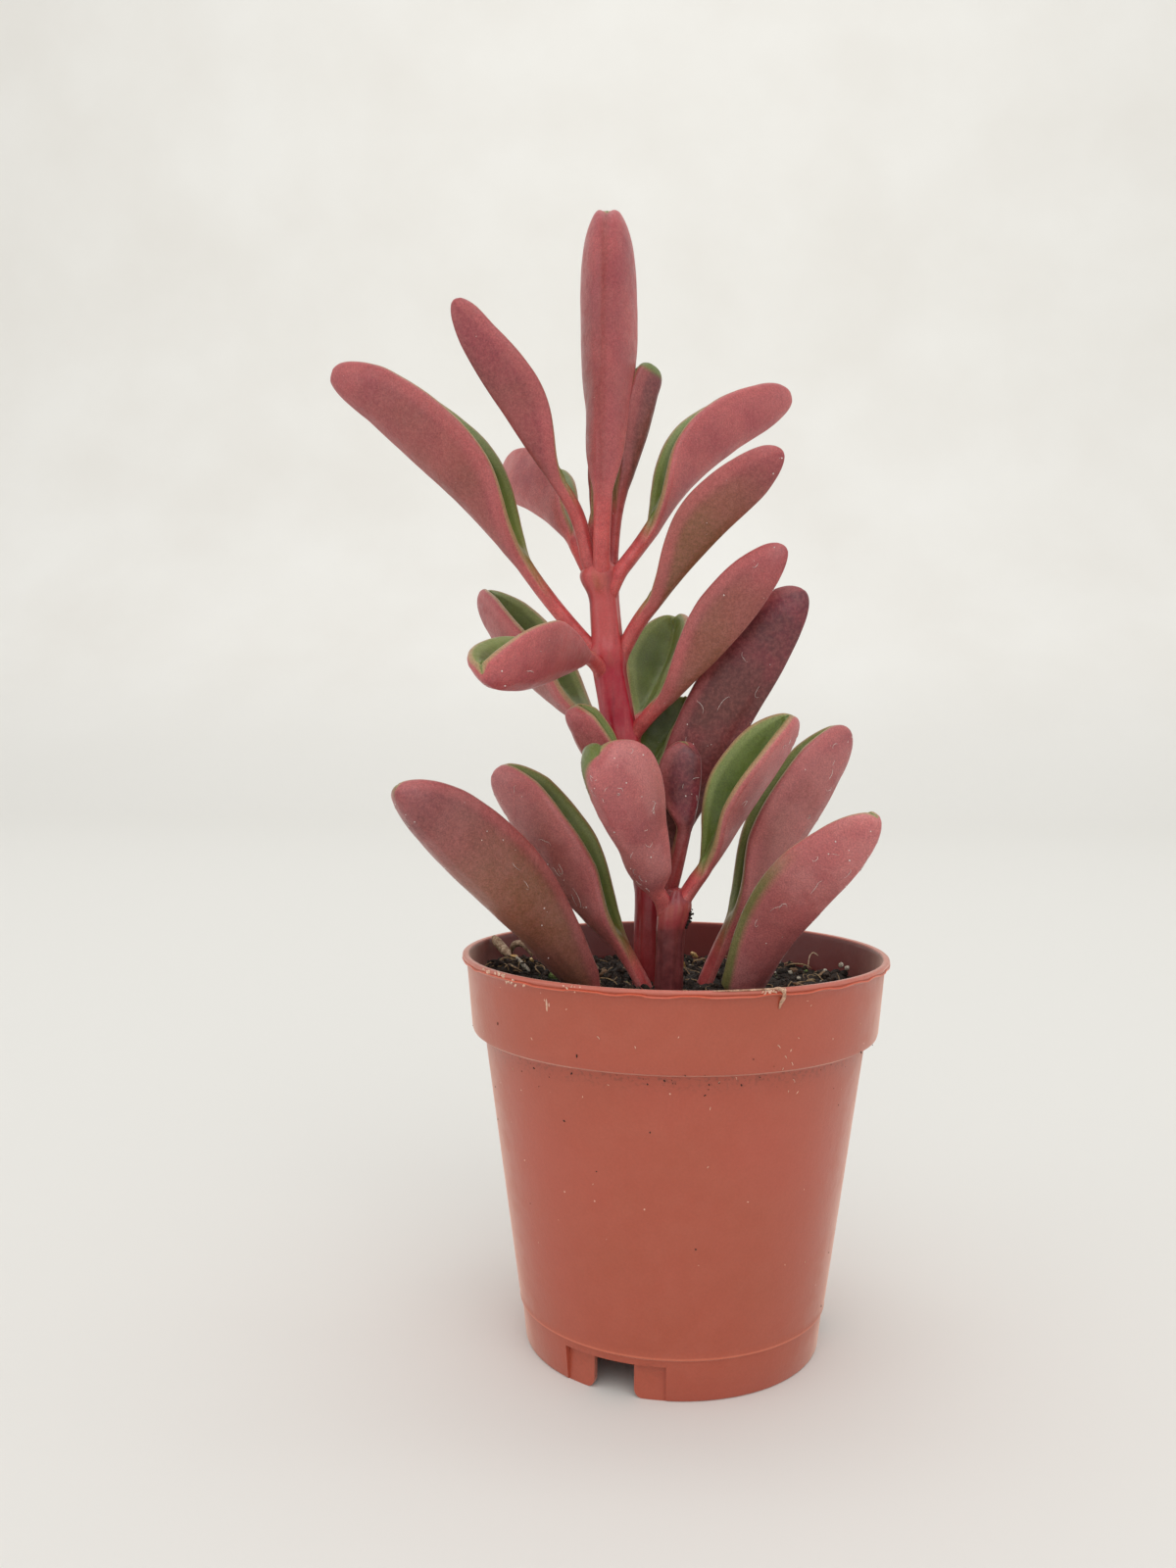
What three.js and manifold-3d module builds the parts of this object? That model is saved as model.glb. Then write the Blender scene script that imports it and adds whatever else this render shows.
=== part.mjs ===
// Potted ruby peperomia: a small succulent with folded, boat-shaped leaves on two upright stems,
// growing in a round plastic nursery pot that is filled with dark peat.
//
// Units are millimetres and +Z is up. Everything is laid out about the pot's axis, with the ground
// at z = 0. The whole group is then moved sideways, so that the origin is the middle of the plant's
// footprint on the ground. Headings are in degrees round the pot: 0 is the front (-Y), 90 the
// right (+X), 180 the back and -90 the left.

import * as THREE from "three";
import { LoftGeometry } from "three/addons/geometries/LoftGeometry.js";
import { mergeVertices } from "three/addons/utils/BufferGeometryUtils.js";
import Module from "manifold-3d";

const wasm = await Module();
wasm.setup();

// Driving dimensions of the pot

const POT_HEIGHT = 54.6;
const LIP_RADIUS = 30;
const LIP_HEIGHT = 0.85;
const LIP_ROUNDING = 0.2;
const LIP_OPENING = 29;
const COLLAR_TOP_RADIUS = 29.3;
const COLLAR_FOOT_RADIUS = 28.5;
const COLLAR_FOOT_Z = 43.7;
const COLLAR_ROUNDING = 0.6;
const BODY_TOP_RADIUS = 26.8;
const SEAM_RADIUS = 21.6;
const SEAM_Z = 5.9;
const SEAM_RELIEF = 0.25;
const FOOT_RADIUS = 20.75;
const FOOT_WALL = 1.2;
const FOOT_CHAMFER = 0.35;
const FLOOR_Z = 5;
const WALL = 0.85;
const POT_SIDES = 60;

const FOOT_NOTCHES = 3;
const FIRST_NOTCH_HEADING = -21;
const PANEL_ARC = 39;
const PANEL_TOP_Z = 4.7;
const PANEL_DEPTH = 0.3;
const NOTCH_WIDTH = 5.6;
const NOTCH_FLARE = 1.2;
const DRAIN_RADIUS = 2.2;
const DRAIN_FROM_AXIS = 15;

// Driving dimensions of the filling and the stems

const SOIL_EDGE_Z = 49.5;
const SOIL_MOUND = 1.2;
const SOIL_TOP_RADIUS = 27.8;
const SOIL_SIDES = 40;
const CLEARANCE = 0.35;
const HOLE_SIDES = 12;
const HOLE_RISE = 4;

// How far the pot's axis stands from the middle of the plant's footprint

const FOOTPRINT_SHIFT_X = 10.5;
const FOOTPRINT_SHIFT_Y = 0.3;

const STEM_SIDES = 14;
const ROOTED_Z = 39;
const LEAF_ROOT_Z = 46;
const SHOOT_DEPTH = 7;
const MAIN_REACH = 3.2;
const SHOOT_REACH = 2.3;

// Each stem is a list of [height, x, y, radius]; the wider steps are the rings the leaves grow from.

const MAIN_STEM = [
  [ROOTED_Z, -3.6, 0, 2.2],
  [50, -3.5, 0, 2.35],
  [63, -3.2, 0, 2.35],
  [64.5, -3.3, 0, 2.65],
  [66.5, -3.5, 0, 2.35],
  [73, -4.8, 0, 2.3],
  [75, -5.3, 0, 2.65],
  [77, -5.8, 0, 2.3],
  [82.4, -7, 0, 2.35],
  [84.4, -7.4, 0, 2.65],
  [86.4, -7.8, 0, 2.3],
  [94.5, -9.3, 0, 2.2],
  [96.5, -9.5, 0, 2.6],
  [98.3, -9.7, 0, 2.15],
  [105, -10.4, 0, 2.1],
  [106.7, -10.6, 0, 2.8],
  [108, -10.8, 0, 2.8],
  [108.6, -10.8, 0, 1.5],
  [110.5, -11, 0, 1.1],
];

const FRONT_SHOOT = [
  [ROOTED_Z, -0.8, -SHOOT_DEPTH, 1.8],
  [50, -0.7, -SHOOT_DEPTH, 1.9],
  [58, -0.5, -SHOOT_DEPTH, 1.95],
  [61, 0, -SHOOT_DEPTH, 2.3],
  [62.4, 0.2, -SHOOT_DEPTH, 2.3],
  [63, 0.3, -SHOOT_DEPTH, 1.4],
  [64.5, 0.4, -SHOOT_DEPTH, 1],
];

// Driving dimensions shared by all the leaves

const PETIOLE_HALF_WIDTH = 1;
const KEEL_THICKNESS = 2;
const MARGIN_THICKNESS = 1.5;
const STALK_MARGIN = 1.6;
const STALK_FOLD = 10;
const FOOT_FOLD = 0.55;
const FULLY_FOLDED_AT = 0.35;
const WIDEST_AT = 0.62;
const FOOT_WIDTH = 0.22;
const BULGE = 0.1;
const TIP_LIFT = 0.5;
const RIB_STEPS = 100;
const OUTER_STEPS = [-1, -0.6, -0.12, 0.12, 0.6, 1];
const INNER_STEPS = [0.96, 0, -0.96];
const PETIOLE_RINGS = 3;
const BLADE_RINGS = 9;
const BLADE_END = 0.985;

// Every leaf. `height` and `side` say where on its stem the stalk starts, and `rooted` gives x and y
// of a stalk that rises out of the soil. `heading` is the way it points, `sweep` how far that turns
// towards the tip, `rise` its slope at the stalk's start, the blade's foot and the tip. `stalk` and
// `blade` are lengths, `wing` the widest half of the blade, `fold` the angle at which both halves
// are folded up, and `roll` how far the blade is turned about its own length.

const LEAVES = [
  {
    name: "leaf_top_upright", stem: MAIN_STEM, height: 108.5, side: 5, heading: 2, sweep: 4,
    rise: [75, 97, 77], stalk: 10.5, blade: 39, wing: 8, fold: 60, roll: -8,
  },
  {
    name: "leaf_top_left", stem: MAIN_STEM, height: 111, side: -65, heading: -74, sweep: 6,
    rise: [77, 50, 61], stalk: 9, blade: 29.5, wing: 6.5, fold: 63, roll: -9,
  },
  {
    name: "leaf_top_back", stem: MAIN_STEM, height: 111, side: -165, heading: -168, sweep: 0,
    rise: [80, 86, 84], stalk: 6, blade: 10, wing: 2.4, fold: 58, roll: 0,
  },
  {
    name: "leaf_upper_left_long", stem: MAIN_STEM, height: 96, side: -90, heading: -94, sweep: -5,
    rise: [47, 57, 25], stalk: 16, blade: 40, wing: 9, fold: 58, roll: -9,
  },
  {
    name: "leaf_top_left_back", stem: MAIN_STEM, height: 110, side: -115, heading: -137, sweep: -9,
    rise: [48, 48, -8], stalk: 4.5, blade: 22.5, wing: 7.5, fold: 65, roll: 25,
  },
  {
    name: "leaf_top_right_back", stem: MAIN_STEM, height: 110.5, side: 140, heading: 113, sweep: 8,
    rise: [83, 70, 72], stalk: 5, blade: 23.5, wing: 5, fold: 62, roll: 2,
  },
  {
    name: "leaf_top_right", stem: MAIN_STEM, height: 108.5, side: 85, heading: 120, sweep: 0,
    rise: [36, 56, 22], stalk: 8, blade: 31, wing: 7.5, fold: 64, roll: 3,
  },
  {
    name: "leaf_upper_right", stem: MAIN_STEM, height: 96.5, side: 80, heading: 69, sweep: -3,
    rise: [75, 40, 42], stalk: 8, blade: 26.5, wing: 7, fold: 63, roll: 6,
  },
  {
    name: "leaf_upper_front", stem: MAIN_STEM, height: 96, side: -25, heading: -21, sweep: -2,
    rise: [-24, -13, -14], stalk: 3.5, blade: 26.5, wing: 8.5, fold: 52, roll: 12,
  },
  {
    name: "leaf_middle_left", stem: MAIN_STEM, height: 83.5, side: -130, heading: -134, sweep: 5,
    rise: [39, 25, 43], stalk: 5, blade: 33, wing: 8, fold: 59, roll: 0,
  },
  {
    name: "leaf_low_left_small", stem: MAIN_STEM, height: 73, side: 0, heading: -70, sweep: -4,
    rise: [56, 54, 44], stalk: 5, blade: 13.5, wing: 5.5, fold: 50, roll: -22,
  },
  {
    name: "leaf_middle_right", stem: MAIN_STEM, height: 85, side: 75, heading: 71, sweep: -1,
    rise: [50, 43, 49], stalk: 5.5, blade: 27, wing: 7, fold: 65, roll: -12,
  },
  {
    name: "leaf_low_right_large", stem: MAIN_STEM, height: 66, side: 95, heading: 88, sweep: -10,
    rise: [68, 63, 55], stalk: 7, blade: 36, wing: 10, fold: 63, roll: -17,
  },
  {
    name: "leaf_middle_back", stem: MAIN_STEM, height: 85, side: 155, heading: 157, sweep: -9,
    rise: [22, 31, 60], stalk: 4, blade: 22.5, wing: 8, fold: 47, roll: -3,
  },
  {
    name: "leaf_low_back_small", stem: MAIN_STEM, height: 76.5, side: 140, heading: 143, sweep: 2,
    rise: [25, 36, 28], stalk: 4, blade: 13, wing: 7, fold: 51, roll: -5,
  },
  {
    name: "leaf_shoot_small", stem: FRONT_SHOOT, height: 63, side: 130, heading: 30, sweep: 0,
    rise: [70, 92, 84], stalk: 9, blade: 12.5, wing: 5, fold: 55, roll: 0,
  },
  {
    name: "leaf_shoot_right", stem: FRONT_SHOOT, height: 62.5, side: 85, heading: 90, sweep: 14,
    rise: [58, 63, 48], stalk: 5, blade: 23, wing: 6.5, fold: 56, roll: 29,
  },
  {
    name: "leaf_shoot_front", stem: FRONT_SHOOT, height: 61.5, side: -30, heading: -35, sweep: -2,
    rise: [48, 46, 51], stalk: 3.5, blade: 21, wing: 9, fold: 58, roll: 17,
  },
  {
    name: "leaf_soil_right_back", rooted: [4.5, 0.5], heading: 103, sweep: -1,
    rise: [70, 57, 51], stalk: 13, blade: 32, wing: 9, fold: 66, roll: -1,
  },
  {
    name: "leaf_soil_right", rooted: [7.5, -6], heading: 47, sweep: -5,
    rise: [50, 51, 37], stalk: 4, blade: 33, wing: 8.5, fold: 55, roll: -14,
  },
  {
    name: "leaf_soil_left", rooted: [-10, -5], heading: -52, sweep: 6,
    rise: [52, 46, 39], stalk: 5, blade: 39, wing: 9.5, fold: 46, roll: 35,
  },
  {
    name: "leaf_soil_left_back", rooted: [-4.5, -4], heading: -95, sweep: 1,
    rise: [67, 52, 44], stalk: 11, blade: 29, wing: 9, fold: 62, roll: -8,
  },
];

// Materials

const MATERIALS = {
  pot: new THREE.MeshStandardMaterial({ color: 0xac5c4a, roughness: 0.45, metalness: 0 }),
  soil: new THREE.MeshStandardMaterial({ color: 0x2b211b, roughness: 1, metalness: 0 }),
  stem: new THREE.MeshStandardMaterial({ color: 0xa83a42, roughness: 0.4, metalness: 0 }),
  shoot: new THREE.MeshStandardMaterial({ color: 0x5f282d, roughness: 0.45, metalness: 0 }),
  leaf: new THREE.MeshStandardMaterial({ color: 0xa55a5f, roughness: 0.5, metalness: 0 }),
};

// Small helpers

const radians = THREE.MathUtils.degToRad;
const smooth = (x) => THREE.MathUtils.smoothstep(x, 0, 1);

function heading(degrees) {
  const a = radians(degrees);
  return new THREE.Vector3(Math.sin(a), -Math.cos(a), 0);
}

// Turns a closed geometry into a solid that can be cut, whichever way its faces point
function solidFrom(geometry) {
  const bare = geometry.index ? geometry.toNonIndexed() : geometry.clone();
  bare.deleteAttribute("normal");
  bare.deleteAttribute("uv");
  const merged = mergeVertices(bare, 1e-4);
  const triVerts = new Uint32Array(merged.index.array);
  const position = merged.attributes.position.array;
  const solid = new wasm.Manifold(
    new wasm.Mesh({ numProp: 3, vertProperties: position, triVerts }),
  );
  if (solid.volume() > 0) return solid;
  return new wasm.Manifold(
    new wasm.Mesh({ numProp: 3, vertProperties: position, triVerts: triVerts.reverse() }),
  );
}

function meshFrom(solid, name, material) {
  const { vertProperties, triVerts } = solid.getMesh();
  const geometry = new THREE.BufferGeometry();
  geometry.setAttribute("position", new THREE.BufferAttribute(vertProperties, 3));
  geometry.setIndex(new THREE.BufferAttribute(triVerts, 1));
  geometry.computeVertexNormals();
  const mesh = new THREE.Mesh(geometry, material);
  mesh.name = name;
  return mesh;
}

function ringAt(x, y, z, radius, sides) {
  return Array.from({ length: sides }, (_, i) => {
    const a = (i / sides) * Math.PI * 2;
    return new THREE.Vector3(x + radius * Math.cos(a), y + radius * Math.sin(a), z);
  });
}

function loft(sections) {
  return new LoftGeometry(sections, { capStart: true, capEnd: true });
}

// Pot: a thin turned cup on a foot ring, with three notched panels and three drain holes

// Inner radius of the pot's wall below the collar
function potWallRadius(z) {
  const outside = THREE.MathUtils.mapLinear(z, SEAM_Z, COLLAR_FOOT_Z, SEAM_RADIUS, BODY_TOP_RADIUS);
  return outside - WALL;
}

function potCup() {
  const profile = [
    [0, FLOOR_Z],
    [FOOT_RADIUS - FOOT_WALL, FLOOR_Z],
    [FOOT_RADIUS - FOOT_WALL, 0],
    [FOOT_RADIUS - FOOT_CHAMFER, 0],
    [FOOT_RADIUS, FOOT_CHAMFER],
    [SEAM_RADIUS - SEAM_RELIEF, SEAM_Z - SEAM_RELIEF],
    [SEAM_RADIUS + 0.05, SEAM_Z],
    [SEAM_RADIUS, SEAM_Z + SEAM_RELIEF],
    [BODY_TOP_RADIUS, COLLAR_FOOT_Z],
    [COLLAR_FOOT_RADIUS - COLLAR_ROUNDING, COLLAR_FOOT_Z + 0.15],
    [COLLAR_FOOT_RADIUS, COLLAR_FOOT_Z + 1.5 * COLLAR_ROUNDING],
    [COLLAR_TOP_RADIUS, POT_HEIGHT - LIP_HEIGHT - 0.1],
    [LIP_RADIUS, POT_HEIGHT - LIP_HEIGHT],
    [LIP_RADIUS, POT_HEIGHT - LIP_ROUNDING],
    [LIP_RADIUS - LIP_ROUNDING, POT_HEIGHT],
    [LIP_OPENING, POT_HEIGHT],
    [COLLAR_FOOT_RADIUS - WALL, COLLAR_FOOT_Z + 2],
    [potWallRadius(COLLAR_FOOT_Z - 0.5), COLLAR_FOOT_Z - 0.5],
    [potWallRadius(FLOOR_Z + WALL), FLOOR_Z + WALL],
    [0, FLOOR_Z + WALL],
  ];
  const points = profile.map(([radius, z]) => new THREE.Vector2(radius, z));
  return solidFrom(new THREE.LatheGeometry(points, POT_SIDES).rotateX(Math.PI / 2));
}

// An upright slab through the foot ring, from the pot's axis outwards, shaped like the notch
function notchCutter(degrees) {
  const half = NOTCH_WIDTH / 2;
  const outline = new THREE.Shape();
  outline.moveTo(-half - NOTCH_FLARE, -1);
  outline.lineTo(half + NOTCH_FLARE, -1);
  outline.lineTo(half + NOTCH_FLARE / 2, NOTCH_FLARE / 3);
  outline.lineTo(half, NOTCH_FLARE);
  outline.lineTo(half, PANEL_TOP_Z);
  outline.lineTo(-half, PANEL_TOP_Z);
  outline.lineTo(-half, NOTCH_FLARE);
  outline.lineTo(-half - NOTCH_FLARE / 2, NOTCH_FLARE / 3);
  outline.closePath();
  const slab = new THREE.ExtrudeGeometry(outline, { depth: 6, bevelEnabled: false });
  slab.rotateX(Math.PI / 2);
  slab.translate(0, -FOOT_RADIUS + 3, 0);
  slab.rotateZ(radians(degrees));
  return solidFrom(slab);
}

// A shallow sector cut that sets the panel on both sides of a notch back from the foot's face
function panelCutter(degrees) {
  const inner = FOOT_RADIUS - PANEL_DEPTH;
  const halfArc = radians(PANEL_ARC / 2);
  const front = -Math.PI / 2;
  const sector = new THREE.Shape();
  sector.absarc(0, 0, inner, front - halfArc, front + halfArc, false);
  sector.absarc(0, 0, FOOT_RADIUS + 3, front + halfArc, front - halfArc, true);
  const slab = new THREE.ExtrudeGeometry(sector, {
    depth: PANEL_TOP_Z + 1,
    bevelEnabled: false,
    curveSegments: 6,
  });
  slab.translate(0, 0, -1);
  slab.rotateZ(radians(degrees));
  return solidFrom(slab);
}

function drainCutter(degrees) {
  const hole = new THREE.CylinderGeometry(DRAIN_RADIUS, DRAIN_RADIUS, 4, 12);
  hole.rotateX(Math.PI / 2);
  const place = heading(degrees).multiplyScalar(DRAIN_FROM_AXIS);
  hole.translate(place.x, place.y, FLOOR_Z);
  return solidFrom(hole);
}

function makePot() {
  let pot = potCup();
  for (let i = 0; i < FOOT_NOTCHES; i++) {
    const degrees = FIRST_NOTCH_HEADING + (i * 360) / FOOT_NOTCHES;
    pot = pot.subtract(panelCutter(degrees));
    pot = pot.subtract(notchCutter(degrees));
    pot = pot.subtract(drainCutter(degrees));
  }
  return meshFrom(pot, "pot", MATERIALS.pot);
}

// Stems: round sections stacked along the table's heights

function stemGeometry(table) {
  return loft(table.map(([z, x, y, radius]) => ringAt(x, y, z, radius, STEM_SIDES)));
}

// The stem's centre and radius at a height, read between the table's rows
function stemAt(table, z) {
  const found = table.findIndex((row) => row[0] >= z);
  const next = found < 0 ? table.length - 1 : Math.max(1, found);
  const [below, above] = [table[next - 1], table[next]];
  const t = THREE.MathUtils.clamp((z - below[0]) / (above[0] - below[0]), 0, 1);
  const [x, y, radius] = [1, 2, 3].map((k) => THREE.MathUtils.lerp(below[k], above[k], t));
  return { x, y, radius };
}

// Leaves: a V-shaped plate swept along a rib that starts as the stalk and runs on as the keel

// How far the tip has rounded off: 1 over most of the blade, 0 at the very end
function tipFade(u) {
  const x = Math.max(0, (u - WIDEST_AT) / (1 - WIDEST_AT));
  return Math.sqrt(Math.max(0, 1 - x ** 2.4));
}

// Width of one side of the blade at u, from 0 at its foot to 1 at its tip, as a share of its widest
function wingShare(u) {
  const swell = Math.sin((Math.min(u / WIDEST_AT, 1) * Math.PI) / 2) ** 1.25;
  return (FOOT_WIDTH + (1 - FOOT_WIDTH) * swell) * tipFade(u);
}

// Points and directions along the rib, about half a millimetre apart
function ribOf(leaf) {
  const length = leaf.stalk + leaf.blade;
  const [riseStart, riseFoot, riseTip] = leaf.rise;
  const rib = [];
  const point = leafStart(leaf);
  for (let i = 0; i <= RIB_STEPS; i++) {
    const s = (i / RIB_STEPS) * length;
    const u = THREE.MathUtils.clamp((s - leaf.stalk) / leaf.blade, 0, 1);
    const turn = smooth(s / (1.3 * leaf.stalk));
    const rise = radians(riseStart + (riseFoot - riseStart) * turn + (riseTip - riseFoot) * u);
    const out = heading(leaf.heading + leaf.sweep * u);
    const along = out.multiplyScalar(Math.cos(rise)).setZ(Math.sin(rise));
    if (i > 0) point.addScaledVector(along, length / RIB_STEPS);
    rib.push({ s, u, point: point.clone(), along, heading: leaf.heading + leaf.sweep * u });
  }
  return rib;
}

// The stalk starts on the stem's surface, or in the soil for the leaves that rise from it
function leafStart(leaf) {
  if (leaf.rooted) return new THREE.Vector3(...leaf.rooted, LEAF_ROOT_Z);
  const { x, y } = stemAt(leaf.stem, leaf.height);
  const reach = leaf.stem === MAIN_STEM ? MAIN_REACH : SHOOT_REACH;
  const start = heading(leaf.side).multiplyScalar(reach);
  return start.add(new THREE.Vector3(x, y, leaf.height));
}

// The section at one rib point: its wing width, how far its wings fold up, and its thicknesses
function sectionSizes(leaf, { s, u }) {
  if (s < leaf.stalk) {
    const k = smooth(s / leaf.stalk);
    const foot = Math.max(FOOT_WIDTH * leaf.wing, PETIOLE_HALF_WIDTH);
    return {
      wing: THREE.MathUtils.lerp(PETIOLE_HALF_WIDTH, foot, 0.9 * k),
      fold: radians(THREE.MathUtils.lerp(STALK_FOLD, FOOT_FOLD * leaf.fold, k)),
      keel: KEEL_THICKNESS,
      margin: THREE.MathUtils.lerp(STALK_MARGIN, MARGIN_THICKNESS, k),
      lift: 0,
    };
  }
  const wing = wingShare(u) * leaf.wing;
  const folded = THREE.MathUtils.lerp(FOOT_FOLD, 1, smooth(u / FULLY_FOLDED_AT));
  const fold = radians(leaf.fold * folded);
  const thickest = (0.8 * wing) / Math.tan(fold);
  return {
    wing,
    fold,
    keel: Math.min(KEEL_THICKNESS, thickest),
    margin: Math.min(MARGIN_THICKNESS, thickest),
    lift: TIP_LIFT * leaf.wing * Math.sin(radians(leaf.fold)) * (1 - tipFade(u)) ** 1.1,
  };
}

// The closed outline of a section: along the ruby underside, then back along the green hollow
function sectionOutline(leaf, ribPoint) {
  const { wing, fold, keel, margin, lift } = sectionSizes(leaf, ribPoint);
  const [c, k] = [Math.cos(fold), Math.sin(fold)];
  const outside = OUTER_STEPS.map((v) => {
    const t = Math.abs(v);
    if (t < 0.2) return [Math.sign(v) * (BULGE * wing * c + 0.25), 0.06 * wing * k];
    const bulge = BULGE * wing * (1 - (2 * t - 1) ** 2);
    return [Math.sign(v) * (t * wing * c + bulge * k), t * wing * k - bulge * c];
  });
  const inside = INNER_STEPS.map((v) => {
    const t = Math.abs(v);
    if (t === 0) return [0, keel / c];
    const thick = THREE.MathUtils.lerp(keel, margin, t);
    return [Math.sign(v) * (t * wing * c - thick * k), t * wing * k + thick * c];
  });
  const turned = radians(leaf.roll) * smooth(ribPoint.s / leaf.stalk);
  const side = heading(ribPoint.heading + 90);
  const up = new THREE.Vector3().crossVectors(ribPoint.along, side);
  side.applyAxisAngle(ribPoint.along, turned);
  up.applyAxisAngle(ribPoint.along, turned);
  return [...outside, ...inside].map(([x, y]) =>
    ribPoint.point.clone().addScaledVector(side, x).addScaledVector(up, y + lift),
  );
}

// The rib is cut off where the stalk would touch its stem
function clearOfStem(leaf, ribPoint) {
  if (leaf.rooted) return true;
  const stemTop = leaf.stem.at(-1)[0];
  return sectionOutline(leaf, ribPoint).every((p) => {
    const { x, y, radius } = stemAt(leaf.stem, p.z);
    return p.z > stemTop + CLEARANCE || Math.hypot(p.x - x, p.y - y) > radius + CLEARANCE;
  });
}

function leafRings(leaf) {
  const rib = ribOf(leaf);
  const first = rib.find((ribPoint) => clearOfStem(leaf, ribPoint));
  const nearest = (s) => rib.reduce((a, b) => (Math.abs(b.s - s) < Math.abs(a.s - s) ? b : a));
  const stops = [];
  for (let i = 0; i < PETIOLE_RINGS; i++) {
    stops.push(THREE.MathUtils.lerp(first.s, leaf.stalk, i / PETIOLE_RINGS));
  }
  for (let i = 0; i < BLADE_RINGS; i++) {
    const u = BLADE_END * (1 - (1 - i / (BLADE_RINGS - 1)) ** 1.5);
    stops.push(leaf.stalk + u * leaf.blade);
  }
  return stops.map(nearest);
}

function makeLeaf(leaf) {
  const sections = leafRings(leaf).map((ribPoint) => sectionOutline(leaf, ribPoint));
  return solidFrom(loft(sections));
}

// Soil: a plug that fills the pot up to a lumpy, slightly mounded top

function soilHeight(x, y) {
  const lumps =
    0.45 * Math.sin(0.7 * x + 1.3) * Math.cos(0.6 * y) +
    0.3 * Math.sin(1.3 * y + 0.4 * x) +
    0.2 * Math.cos(1.9 * x - 1.1 * y);
  const share = Math.hypot(x, y) / SOIL_TOP_RADIUS;
  return SOIL_EDGE_Z + SOIL_MOUND * (1 - share ** 2) + lumps * Math.min(1, 3 * (1 - share));
}

function soilPlug() {
  const wallRing = (z, radius) => ringAt(0, 0, z, radius - CLEARANCE, SOIL_SIDES);
  const topRing = (share) =>
    ringAt(0, 0, 0, share * SOIL_TOP_RADIUS, SOIL_SIDES).map((p) => p.setZ(soilHeight(p.x, p.y)));
  const floorZ = FLOOR_Z + WALL + CLEARANCE;
  const shoulderZ = COLLAR_FOOT_Z - 0.6;
  return solidFrom(
    loft([
      wallRing(floorZ, potWallRadius(floorZ)),
      wallRing(shoulderZ, potWallRadius(shoulderZ)),
      wallRing(SOIL_EDGE_Z - 0.6, SOIL_TOP_RADIUS + CLEARANCE),
      ...[1, 0.88, 0.74, 0.6, 0.46, 0.32, 0.18, 0.05].map(topRing),
    ]),
  );
}

// A round hole that follows a rooted stalk down into the soil, a little wider than the stalk itself
function stalkHole(leaf) {
  const rib = ribOf(leaf).filter((r, i) => i % 4 === 0 && r.point.z < SOIL_EDGE_Z + HOLE_RISE);
  const sections = rib.map((ribPoint) => {
    const outline = sectionOutline(leaf, ribPoint);
    const middle = new THREE.Vector3();
    outline.forEach((p) => middle.addScaledVector(p, 1 / outline.length));
    const radius = Math.max(...outline.map((p) => p.distanceTo(middle))) + 1.5 * CLEARANCE;
    const side = heading(ribPoint.heading + 90);
    const up = new THREE.Vector3().crossVectors(ribPoint.along, side);
    return ringAt(0, 0, 0, radius, HOLE_SIDES).map((p) =>
      middle.clone().addScaledVector(side, p.x).addScaledVector(up, p.y),
    );
  });
  const bottom = sections[0].map((p) => p.clone().addScaledVector(rib[0].along, -CLEARANCE));
  return solidFrom(loft([bottom, ...sections]));
}

function makeSoil() {
  let soil = soilPlug();
  for (const table of [MAIN_STEM, FRONT_SHOOT]) {
    const [, x, y] = table[0];
    const radius = Math.max(...table.slice(0, 2).map((row) => row[3])) + 1.3 * CLEARANCE;
    const hole = new THREE.CylinderGeometry(radius, radius, 16, STEM_SIDES);
    hole.rotateX(Math.PI / 2);
    hole.translate(x, y, ROOTED_Z - CLEARANCE + 8);
    soil = soil.subtract(solidFrom(hole));
  }
  for (const leaf of LEAVES.filter((one) => one.rooted)) soil = soil.subtract(stalkHole(leaf));
  return meshFrom(soil, "soil", MATERIALS.soil);
}

// The whole plant in its pot

const group = new THREE.Group();
group.add(makePot());
group.add(makeSoil());
group.add(meshFrom(solidFrom(stemGeometry(MAIN_STEM)), "main_stem", MATERIALS.stem));
group.add(meshFrom(solidFrom(stemGeometry(FRONT_SHOOT)), "front_shoot", MATERIALS.shoot));
for (const leaf of LEAVES) {
  group.add(meshFrom(makeLeaf(leaf), leaf.name, MATERIALS.leaf));
}
group.position.set(FOOTPRINT_SHIFT_X, FOOTPRINT_SHIFT_Y, 0);

export default group;
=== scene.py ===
# Looks of a small potted peperomia: ruby boat-shaped leaves on two stems, in a terracotta-coloured
# plastic pot filled with peat. Sizes are in millimetres about the pot's axis until a piece is made.
import math

import bmesh
import bpy
import numpy as np
from mathutils import Matrix, Vector, noise


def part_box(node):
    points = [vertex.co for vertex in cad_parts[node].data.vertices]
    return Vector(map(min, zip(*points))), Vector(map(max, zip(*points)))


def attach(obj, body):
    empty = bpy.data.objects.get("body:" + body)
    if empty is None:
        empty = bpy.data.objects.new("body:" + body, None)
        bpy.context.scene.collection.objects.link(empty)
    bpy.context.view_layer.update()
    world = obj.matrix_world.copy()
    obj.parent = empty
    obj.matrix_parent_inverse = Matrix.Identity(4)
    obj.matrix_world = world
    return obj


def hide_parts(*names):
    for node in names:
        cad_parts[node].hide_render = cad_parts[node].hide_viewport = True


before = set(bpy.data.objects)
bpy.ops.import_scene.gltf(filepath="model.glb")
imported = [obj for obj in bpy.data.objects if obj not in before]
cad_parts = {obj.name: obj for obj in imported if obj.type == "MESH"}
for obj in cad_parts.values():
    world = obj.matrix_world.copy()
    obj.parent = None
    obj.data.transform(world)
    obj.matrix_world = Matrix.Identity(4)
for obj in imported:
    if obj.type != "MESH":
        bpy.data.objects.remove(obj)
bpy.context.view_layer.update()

MM = 0.001
SEED = 11

# The pot's axis, read from the frame

pot_low, pot_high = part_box("pot")
AXIS = np.array([(pot_low.x + pot_high.x) / 2, (pot_low.y + pot_high.y) / 2, 0]) / MM

# Camera, at the height and distance the photograph was taken from, with its angles in radians

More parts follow.
